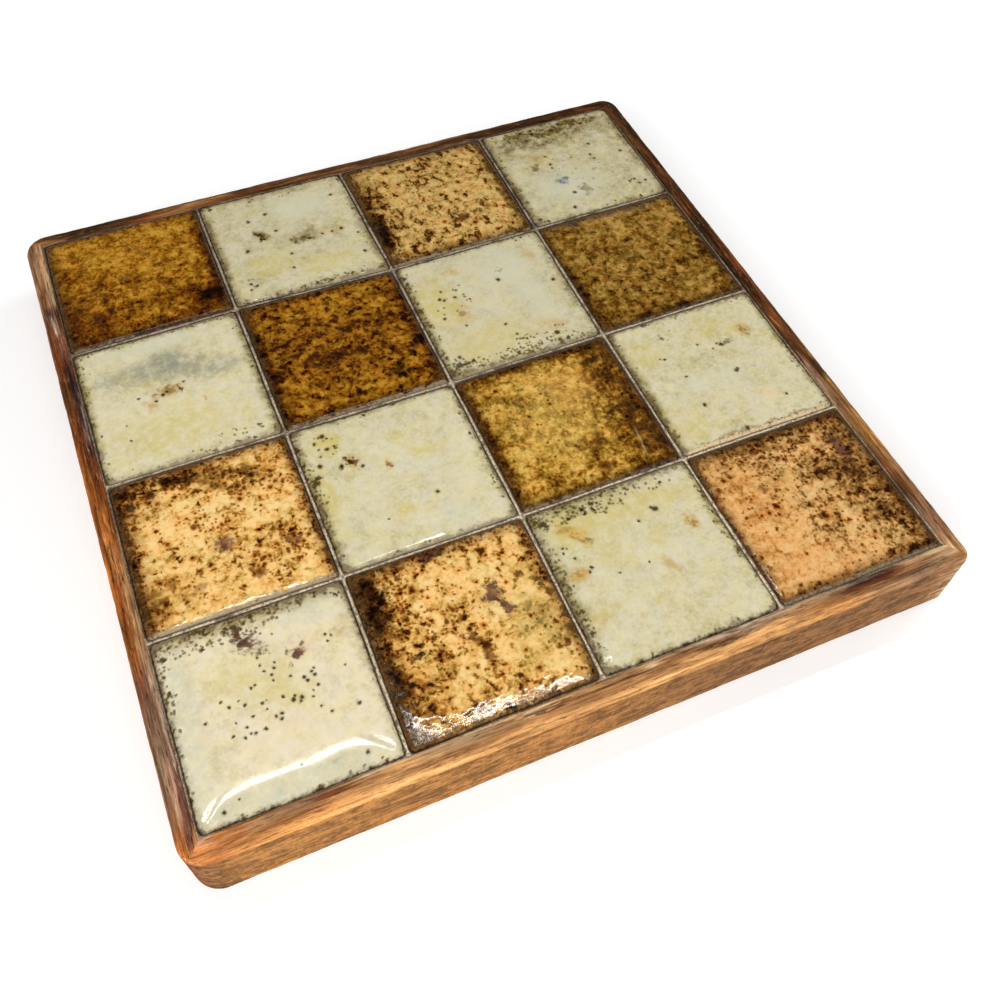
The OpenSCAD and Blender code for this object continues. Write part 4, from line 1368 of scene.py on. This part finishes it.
class WoodPaint:
    """Paints one strip's old oiled wood: its coloured, grained top and its rough-sawn faces."""

    def __init__(self, side, settings):
        self.material, self.g, self.place = new_material(f"wood_{side}")
        self.side, self.grain = side, settings.grain
        self.colours = palette(settings, WOOD_COLOURS)
        self.up = self.g.number("top_face")
        self.glow, self.lines = (1.45, 0.60) if side == "front" else (2.2, 0.80)

    def drawn_out(self, long, thin):
        """Coordinates in which noise comes out as streaks along the strip."""
        lengthwise = self.side in ("front", "back")
        stretch = (1 / long, 1 / thin, 1 / thin) if lengthwise else (1 / thin, 1 / long, 1 / thin)
        return self.g.vector("MULTIPLY", self.place, stretch)

    def zones(self):
        """The colour of the face and that of the top, zone by zone and spot by spot."""
        g, colours = self.g, self.colours
        strip = g.add("ShaderNodeUVMap", uv_map=PLACE_UV).outputs[0]
        wander = g.wobble(self.drawn_out(14 * MM, 1.2 * MM), 1.0, 5, 0.65, 0.3)
        bent = g.vector("MULTIPLY_ADD", wander, (0.10, 0.90, 0), strip)
        parts = g.add("ShaderNodeSeparateXYZ", {0: bent})
        along, self.inward = parts.outputs[0], parts.outputs[1]
        face, outer, inner = [g.ramp(along, [(at, colours[name]) for at, name in run])
                              for run in WOOD_RUNS[self.side]]
        top = g.mix(g.span(self.inward, 0.40, 0.70), outer, inner)
        for at, deep, half_long, half_wide, name, strength in WOOD_SPOTS[self.side]:
            mask = g.area(bent, (at, deep), (half_long, half_wide), 0.0, strength, 1.25, 0.5)
            top = g.mix(mask, top, colours[name])
        return face, top

    def grained(self, top):
        """Smeared grout, broad figure, dark and light grain lines and a painted highlight on the top
        arris.
        """
        g, colours, grain = self.g, self.colours, self.grain
        broad = g.noise(self.drawn_out(24 * MM, 3.4 * grain), 1.0, 3, 0.6, 0.6)
        fibre = self.fibre = g.noise(self.drawn_out(18 * MM, grain), 1.0, 4, 0.7, 0.25)
        pores = self.pores = g.noise(self.drawn_out(4 * MM, 0.4 * grain), 1.0, 3, 0.65)
        self.speckle = g.noise(self.place, 0.8 * MM, 3, 0.65)
        at_joint = g.span(self.inward, 0.55, 0.85, 0, SMEARS[self.side])
        smeared = g.math("MULTIPLY", at_joint, g.span(broad, 0.50, 0.36))
        top = g.mix(smeared, top, colours["smear"])
        top = g.mix(g.span(broad, 0.50, 0.62, 0, 0.50), top, colours["rust"])
        top = g.mix(g.span(broad, 0.47, 0.36, 0, 0.70), top, g.scaled(top, self.glow))
        top = g.mix(g.span(fibre, 0.51, 0.62, 0, self.lines), top, g.scaled(top, 0.34))
        top = g.mix(g.span(pores, 0.56, 0.66, 0, self.lines), top, colours["dark"])
        top = g.mix(g.span(fibre, 0.48, 0.36, 0, 0.75), top, g.scaled(top, self.glow))
        top = g.mix(g.span(pores, 0.40, 0.28, 0, 0.35), top, colours["pale"])
        # Painted highlight: the wood is lightened along the top arris, where the arris catches the
        # light
        at_arris = g.span(self.up, 0.15, 0.5)
        arris_highlight = g.math("MULTIPLY", at_arris, g.span(g.about(self.speckle, 0.8, self.up), 1.0, 0.8))
        return g.mix(g.math("MULTIPLY", arris_highlight, 0.60), top, g.scaled(top, 1.5))

    def sawn(self, face):
        """Saw marks: short gouges and upright teeth in dark and light patches."""
        g = self.g
        self.cut = g.noise(self.drawn_out(3.2 * MM, 1.0 * MM), 1.0, 4, 0.66, 0.5)
        upright = g.vector("DIVIDE", self.place, (0.9 * MM, 0.9 * MM, 3.4 * MM))
        teeth = g.noise(upright, 1.0, 3, 0.6)
        patch = g.noise(self.drawn_out(11 * MM, 3.4 * MM), 1.0, 4, 0.6, 0.4)
        marks = g.about(self.cut, 4.2, g.about(teeth, 1.2, g.about(patch, 3.4, 0.5)))
        face = g.mix(g.span(marks, 0.52, 1.05, 0, 0.85), face, g.scaled(face, 0.45))
        face = g.mix(g.span(marks, 0.48, 0.00, 0, 0.85), face, g.scaled(face, 1.6))
        return g.mix(g.span(self.speckle, 0.60, 0.74, 0, 0.35), face, self.colours["dark"])

    def finish(self, face, top):
        """Dull wood with raised grain on its top and saw cuts on its face."""
        g = self.g
        colour = g.mix(self.up, face, top)
        colour = g.scaled(colour, g.span(self.speckle, 0.3, 0.7, 0.86, 1.10))
        height = g.math("MULTIPLY_ADD", self.speckle, 0.3, g.math("MULTIPLY", self.fibre, -1.0))
        height = g.math("MULTIPLY_ADD", g.span(self.pores, 0.58, 0.70), -0.4, height)
        sawn_height = g.math("MULTIPLY", g.math("SUBTRACT", 1, self.up), self.cut)
        height = g.math("ADD", sawn_height, height)
        rough = g.span(self.fibre, 0.3, 0.7, 0.50, 0.75, "LINEAR")
        finish_material(g, colour, rough, height, 0.25 * MM, 0.06)


def wood(side, settings):
    """The material of one strip's wood."""
    paint = WoodPaint(side, settings)
    face, top = paint.zones()
    top = paint.grained(top)
    face = paint.sawn(face)
    paint.finish(face, top)
    return paint.material


# Radii of the frame's corners, each at the left end of its strip as seen from outside
CORNER_RADII = {"front": 7.15 * MM, "right": 3.9 * MM, "back": 5.525 * MM, "left": 7.15 * MM}
TOP_ARRIS = 1.3 * MM
FOOT_ARRIS = 0.8 * MM
# Steps round a corner, and between the points along the straight
CORNER_STEPS = 14
EDGE_SPACING = 0.55 * MM
# Rows of a strip's section: round the foot's arris, up the face, round the top's arris, across
FOOT_ROWS = 4
FACE_ROWS = 30
ARRIS_ROWS = 7
TOP_ROWS = 12
# Share of the top's place across the strip that lies on its arris, and how much sooner than the
# arris ends the wood looks like that of the top
ARRIS_SHARE = 0.2
TOP_SOONER = 1.3


def frame_path(side):
    """Points and outward ways along a strip's outer edge, and its two ends inside, mitre to mitre."""
    low, high = CAD_BOUNDS
    field_low, field_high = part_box("tile_adhesive")
    inner = [(field_low[0], field_low[1]), (field_high[0], field_low[1]),
             (field_high[0], field_high[1]), (field_low[0], field_high[1])]
    outer = [(low[0], low[1]), (high[0], low[1]), (high[0], high[1]), (low[0], high[1])]
    k = SIDES.index(side)
    turn = k * math.pi / 2
    spin = np.array([[math.cos(turn), math.sin(turn)], [-math.sin(turn), math.cos(turn)]])
    start_in, end_in = spin @ np.array(inner[k]), spin @ np.array(inner[(k + 1) % 4])
    start_out, end_out = spin @ np.array(outer[k]), spin @ np.array(outer[(k + 1) % 4])

    def mitre(inside, outside, sign, r):
        """The angle on the corner's arc where the mitre leaves the frame, and the arc's centre."""
        centre = outside + np.array([-sign * r, r])
        way = (outside - inside) / np.linalg.norm(outside - inside)
        gap = inside - centre
        b = gap @ way
        far = -b + math.sqrt(b * b - gap @ gap + r * r)
        spot = gap + way * far
        return math.atan2(spot[0], -spot[1]), centre

    r_a, r_b = CORNER_RADII[side], CORNER_RADII[SIDES[(k + 1) % 4]]
    first, centre_a = mitre(start_in, start_out, -1, r_a)
    last, centre_b = mitre(end_in, end_out, 1, r_b)
    path = []
    for angle in np.linspace(first, 0, CORNER_STEPS, endpoint=False):
        way = np.array([math.sin(angle), -math.cos(angle)])
        path.append((centre_a + r_a * way, way))
    length = centre_b[0] - centre_a[0]
    straight = int(length / EDGE_SPACING)
    for share in np.linspace(0, 1, straight):
        path.append((np.array([centre_a[0] + length * share, start_out[1]]), np.array([0.0, -1.0])))
    for angle in np.linspace(0, last, CORNER_STEPS + 1)[1:]:
        way = np.array([math.sin(angle), -math.cos(angle)])
        path.append((centre_b + r_b * way, way))
    spots = np.array([p for p, _ in path])
    ways = np.array([w for _, w in path])
    share = (spots[:, 0] - spots[0, 0]) / (spots[-1, 0] - spots[0, 0])
    inside = start_in + (end_in - start_in) * share[:, None]
    return spots @ spin, ways @ spin, inside @ spin, share


def strip_section(height):
    """Rows of a strip's section: inset from its outer face, height, and share of the way inwards."""
    rows = []
    for step in range(FOOT_ROWS):
        angle = math.pi / 2 * step / FOOT_ROWS
        rows.append((FOOT_ARRIS * (1 - math.sin(angle)), FOOT_ARRIS * (1 - math.cos(angle)), 0))
    rows += [(0, z, 0) for z in np.linspace(FOOT_ARRIS, height - TOP_ARRIS, FACE_ROWS)]
    for step in range(1, ARRIS_ROWS + 1):
        angle = math.pi / 2 * step / ARRIS_ROWS
        rows.append((TOP_ARRIS * (1 - math.cos(angle)),
                     height - TOP_ARRIS + TOP_ARRIS * math.sin(angle), 0))
    rows += [(TOP_ARRIS, height, share) for share in np.linspace(0, 1, TOP_ROWS + 1)[1:]]
    rows += [(TOP_ARRIS, z, 1) for z in (height * 0.75, height * 0.4, 0)]
    rows += [(FOOT_ARRIS, 0, 0.5)]
    return rows


def strip_faces(deep, count):
    """Faces between the rows of a strip, closed at both mitres."""
    faces = []
    for r in range(deep):
        for k in range(count - 1):
            a, b = r * count + k, (r + 1) % deep * count + k
            faces.append((a, a + 1, b + 1, b))
    faces.append(tuple(r * count for r in range(deep)))
    faces.append(tuple(r * count + count - 1 for r in reversed(range(deep))))
    return faces


def worn(flat, outward, on_arris, height, depth):
    """The points of a strip sunk by dents, which are deepest along its top arris."""
    dents = lattice_noise(flat, 7 * MM, 21) + 0.6 * lattice_noise(flat, 2.2 * MM, 22)
    wear = np.clip(dents * 0.5 + 0.4, 0, 1.3)
    wear += np.clip(lattice_noise(flat, 3.5 * MM, 23), 0, 1) * 1.2 * on_arris
    flat = flat - outward * (wear * depth)[:, None]
    flat[:, 2] = np.clip(flat[:, 2], 0, height)
    return flat


class TRIVET_OT_frame(bpy.types.Operator):
    """Models the four strips of the wooden frame"""
    bl_idname = "trivet.frame"
    bl_label = "Wooden frame"

    def execute(self, context):
        settings = context.scene.trivet_frame
        for side in SIDES:
            self.strip(side, settings)
        return {"FINISHED"}

    def strip(self, side, settings):
        node = f"frame_{side}"
        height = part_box(node)[1][2]
        spots, ways, inside, share = frame_path(side)
        rows = strip_section(height)
        count, deep = len(spots), len(rows)
        points, outward = np.zeros((2, deep, count, 3))
        arris, top, width_share = np.zeros((3, deep, count))
        for r, (inset, z, inward) in enumerate(rows):
            edge = spots - ways * inset
            points[r, :, :2] = edge + (inside - edge) * inward
            points[r, :, 2] = z
            risen = min(max((z - height + TOP_ARRIS) / TOP_ARRIS, 0), 1)
            top[r] = min(risen * TOP_SOONER, 1)
            arris[r] = inward == 0 and risen > 0
            if inward == 0:
                width_share[r] = ARRIS_SHARE * min(inset / TOP_ARRIS, 1) if z > height / 2 else 0
            else:
                width_share[r] = ARRIS_SHARE + (1 - ARRIS_SHARE) * inward
            if inward < 1 and z > 0:
                lift = 1.0 if inward > 0 else risen
                outward[r, :, :2] = ways * math.sqrt(1 - lift * lift)
                outward[r, :, 2] = lift if z > height / 2 else 0
        flat = worn(points.reshape(-1, 3), outward.reshape(-1, 3), arris.ravel(), height,
                    settings.wear)
        faces = strip_faces(deep, count)
        piece = new_piece(f"wood_strip_{side}", flat, faces, wood(side, settings))
        give_places(piece.data, np.stack([np.tile(share, deep), width_share.ravel()], -1))
        give_number(piece.data, "top_face", top)
        dress(piece, node)


def board_material(settings):
    material, g, place = new_material("base_board")
    drawn = g.vector("MULTIPLY", place, (1 / (30 * MM), 1 / (1.6 * MM), 1 / (2 * MM)))
    grain = g.noise(drawn, 1.0, 5, 0.6, 0.5)
    cloud = g.noise(place, 22 * MM, 3)
    colour = g.mix(g.span(grain, 0.42, 0.7), opaque(settings.ply), opaque(settings.ply_grain))
    colour = g.mix(g.span(cloud, 0.4, 0.7, 0, 0.35), colour, opaque(settings.ply_grain))
    finish_material(g, colour, g.span(grain, 0.3, 0.7, 0.6, 0.85, "LINEAR"), grain, 0.25 * MM)
    return material


def adhesive_material(settings):
    material, g, place = new_material("tile_adhesive")
    lumps = g.noise(place, 3 * MM, 4, 0.6)
    dark = tuple(0.6 * c for c in settings.adhesive)
    colour = g.mix(g.span(lumps, 0.35, 0.7), opaque(settings.adhesive), opaque(dark))
    finish_material(g, colour, g.span(lumps, 0.3, 0.7, 0.8, 0.95, "LINEAR"), lumps, 0.4 * MM)
    return material


class TRIVET_OT_underside(bpy.types.Operator):
    """Gives the base board and the bed of adhesive their materials"""
    bl_idname = "trivet.underside"
    bl_label = "Board and adhesive"

    def execute(self, context):
        settings = context.scene.trivet_underside
        for node, material in (("base_board", board_material(settings)),
                               ("tile_adhesive", adhesive_material(settings))):
            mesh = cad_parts[node].data
            mesh.materials.clear()
            mesh.materials.append(material)
        return {"FINISHED"}


# The camera of the photograph: its place, and its right, up and back directions
CAMERA_PLACE = (-0.07084, -0.18476, 0.24977)
CAMERA_RIGHT = (0.91934, -0.39273, 0.02384)
CAMERA_UP = (0.31138, 0.76327, 0.56609)
CAMERA_BACK = (-0.24052, -0.51301, 0.82400)
CAMERA_LENS = 37.647
SENSOR = 36.0

# The lights: place, what each points at, width and height
STRIP_LIGHT = ((-0.025, 0.254, 1.07), (-0.025, 0, 0), (0.65, 0.015))
KEY_LIGHT = ((1.45, 0.30, 0.60), (0, 0, 0), (0.6, 0.6))
FILL_LIGHT = ((-0.50, -0.55, 0.66), (0, 0, 0), (0.5, 0.5))
# Share of the room's light that is left where the flat tiles would mirror it
MIRRORED_SHARE = 0.07
FLOOR_REACH = 4.0


def area_light(name, place, target, size, power):
    lamp = bpy.data.lights.new(name, "AREA")
    lamp.shape = "RECTANGLE"
    lamp.size, lamp.size_y = size
    lamp.energy = power
    holder = bpy.data.objects.new(name, lamp)
    back = np.array(place, float) - np.array(target, float)
    back /= np.linalg.norm(back)
    right = np.cross((0, 1, 0), back)
    right /= np.linalg.norm(right)
    up = np.cross(back, right)
    turned = Matrix([[right[i], up[i], back[i]] for i in range(3)]).to_4x4()
    turned.translation = place
    holder.matrix_world = turned
    bpy.context.scene.collection.objects.link(holder)
    return holder


class TRIVET_OT_stage(bpy.types.Operator):
    """Sets up the camera, the pale floor and the studio light"""
    bl_idname = "trivet.stage"
    bl_label = "Stage"

    def execute(self, context):
        settings = context.scene.trivet_stage
        scene = context.scene
        scene.view_settings.view_transform = "Standard"
        self.camera(scene)
        self.floor(settings)
        area_light("strip_light", *STRIP_LIGHT, settings.strip_power)
        key = area_light("key_light", *KEY_LIGHT, settings.key_power)
        fill = area_light("fill_light", *FILL_LIGHT, settings.fill_power)
        key.visible_glossy = False
        fill.visible_glossy = False
        self.room(scene, settings)
        return {"FINISHED"}

    def room(self, scene, settings):
        """Even light all round, dimmer high up at the back, where the flat tiles would mirror it."""
        world = bpy.data.worlds.new("room")
        scene.world = world
        world.use_nodes = True
        world.node_tree.nodes.clear()
        g = Graph(world.node_tree)
        way = g.add("ShaderNodeTexCoord").outputs["Generated"]
        parts = g.add("ShaderNodeSeparateXYZ", {0: way}).outputs
        mirrored = g.math("MULTIPLY", g.span(parts[1], -0.15, 0.2), g.span(parts[2], 0.2, 0.45))
        strength = g.span(mirrored, 0, 1, settings.sky, settings.sky * MIRRORED_SHARE)
        light = g.add("ShaderNodeBackground", {"Color": WHITE, "Strength": strength})
        g.add("ShaderNodeOutputWorld", {"Surface": light.outputs[0]})

    def camera(self, scene):
        lens = bpy.data.cameras.new("camera")
        lens.sensor_width = SENSOR
        lens.lens = CAMERA_LENS
        lens.clip_start = 0.01
        holder = bpy.data.objects.new("camera", lens)
        axes = (CAMERA_RIGHT, CAMERA_UP, CAMERA_BACK)
        turned = Matrix([[axis[i] for axis in axes] for i in range(3)]).to_4x4()
        turned.translation = CAMERA_PLACE
        holder.matrix_world = turned
        scene.collection.objects.link(holder)
        scene.camera = holder

    def floor(self, settings):
        material = bpy.data.materials.new("pale_floor")
        material.use_nodes = True
        surface = material.node_tree.nodes["Principled BSDF"].inputs
        surface["Base Color"].default_value = opaque(settings.floor)
        surface["Roughness"].default_value = 0.9
        surface["Specular IOR Level"].default_value = 0.1
        surface["Emission Color"].default_value = WHITE
        surface["Emission Strength"].default_value = settings.floor_glow
        corners = [(x * FLOOR_REACH, y * FLOOR_REACH, 0)
                   for x, y in ((-1, -1), (1, -1), (1, 1), (-1, 1))]
        new_piece("floor", corners, [(0, 1, 2, 3)], material)


class TRIVET_PT_panel(bpy.types.Panel):
    """Lists what builds the trivet"""
    bl_idname = "TRIVET_PT_panel"
    bl_label = "Tile-topped trivet"
    bl_space_type = "VIEW_3D"
    bl_region_type = "UI"
    bl_category = "Trivet"

    def draw(self, context):
        for name, group in GROUPS.items():
            settings = getattr(context.scene, f"trivet_{name}")
            box = self.layout.box()
            box.operator(f"trivet.{name}")
            for key in group.__annotations__:
                box.prop(settings, key)


GROUPS = {"stage": StageSettings, "tiles": TileSettings, "grout": GroutSettings,
          "frame": FrameSettings, "underside": UndersideSettings}
CLASSES = (*GROUPS.values(), TRIVET_OT_stage, TRIVET_OT_tiles, TRIVET_OT_grout,
           TRIVET_OT_frame, TRIVET_OT_underside, TRIVET_PT_panel)


def register():
    for made in CLASSES:
        bpy.utils.register_class(made)
    for name, group in GROUPS.items():
        setattr(bpy.types.Scene, f"trivet_{name}", bpy.props.PointerProperty(type=group))


def unregister():
    for name in GROUPS:
        delattr(bpy.types.Scene, f"trivet_{name}")
    for made in reversed(CLASSES):
        bpy.utils.unregister_class(made)


def main():
    register()
    bpy.ops.trivet.stage()
    bpy.ops.trivet.tiles()
    bpy.ops.trivet.grout()
    bpy.ops.trivet.frame()
    bpy.ops.trivet.underside()


if __name__ == "__main__":
    main()
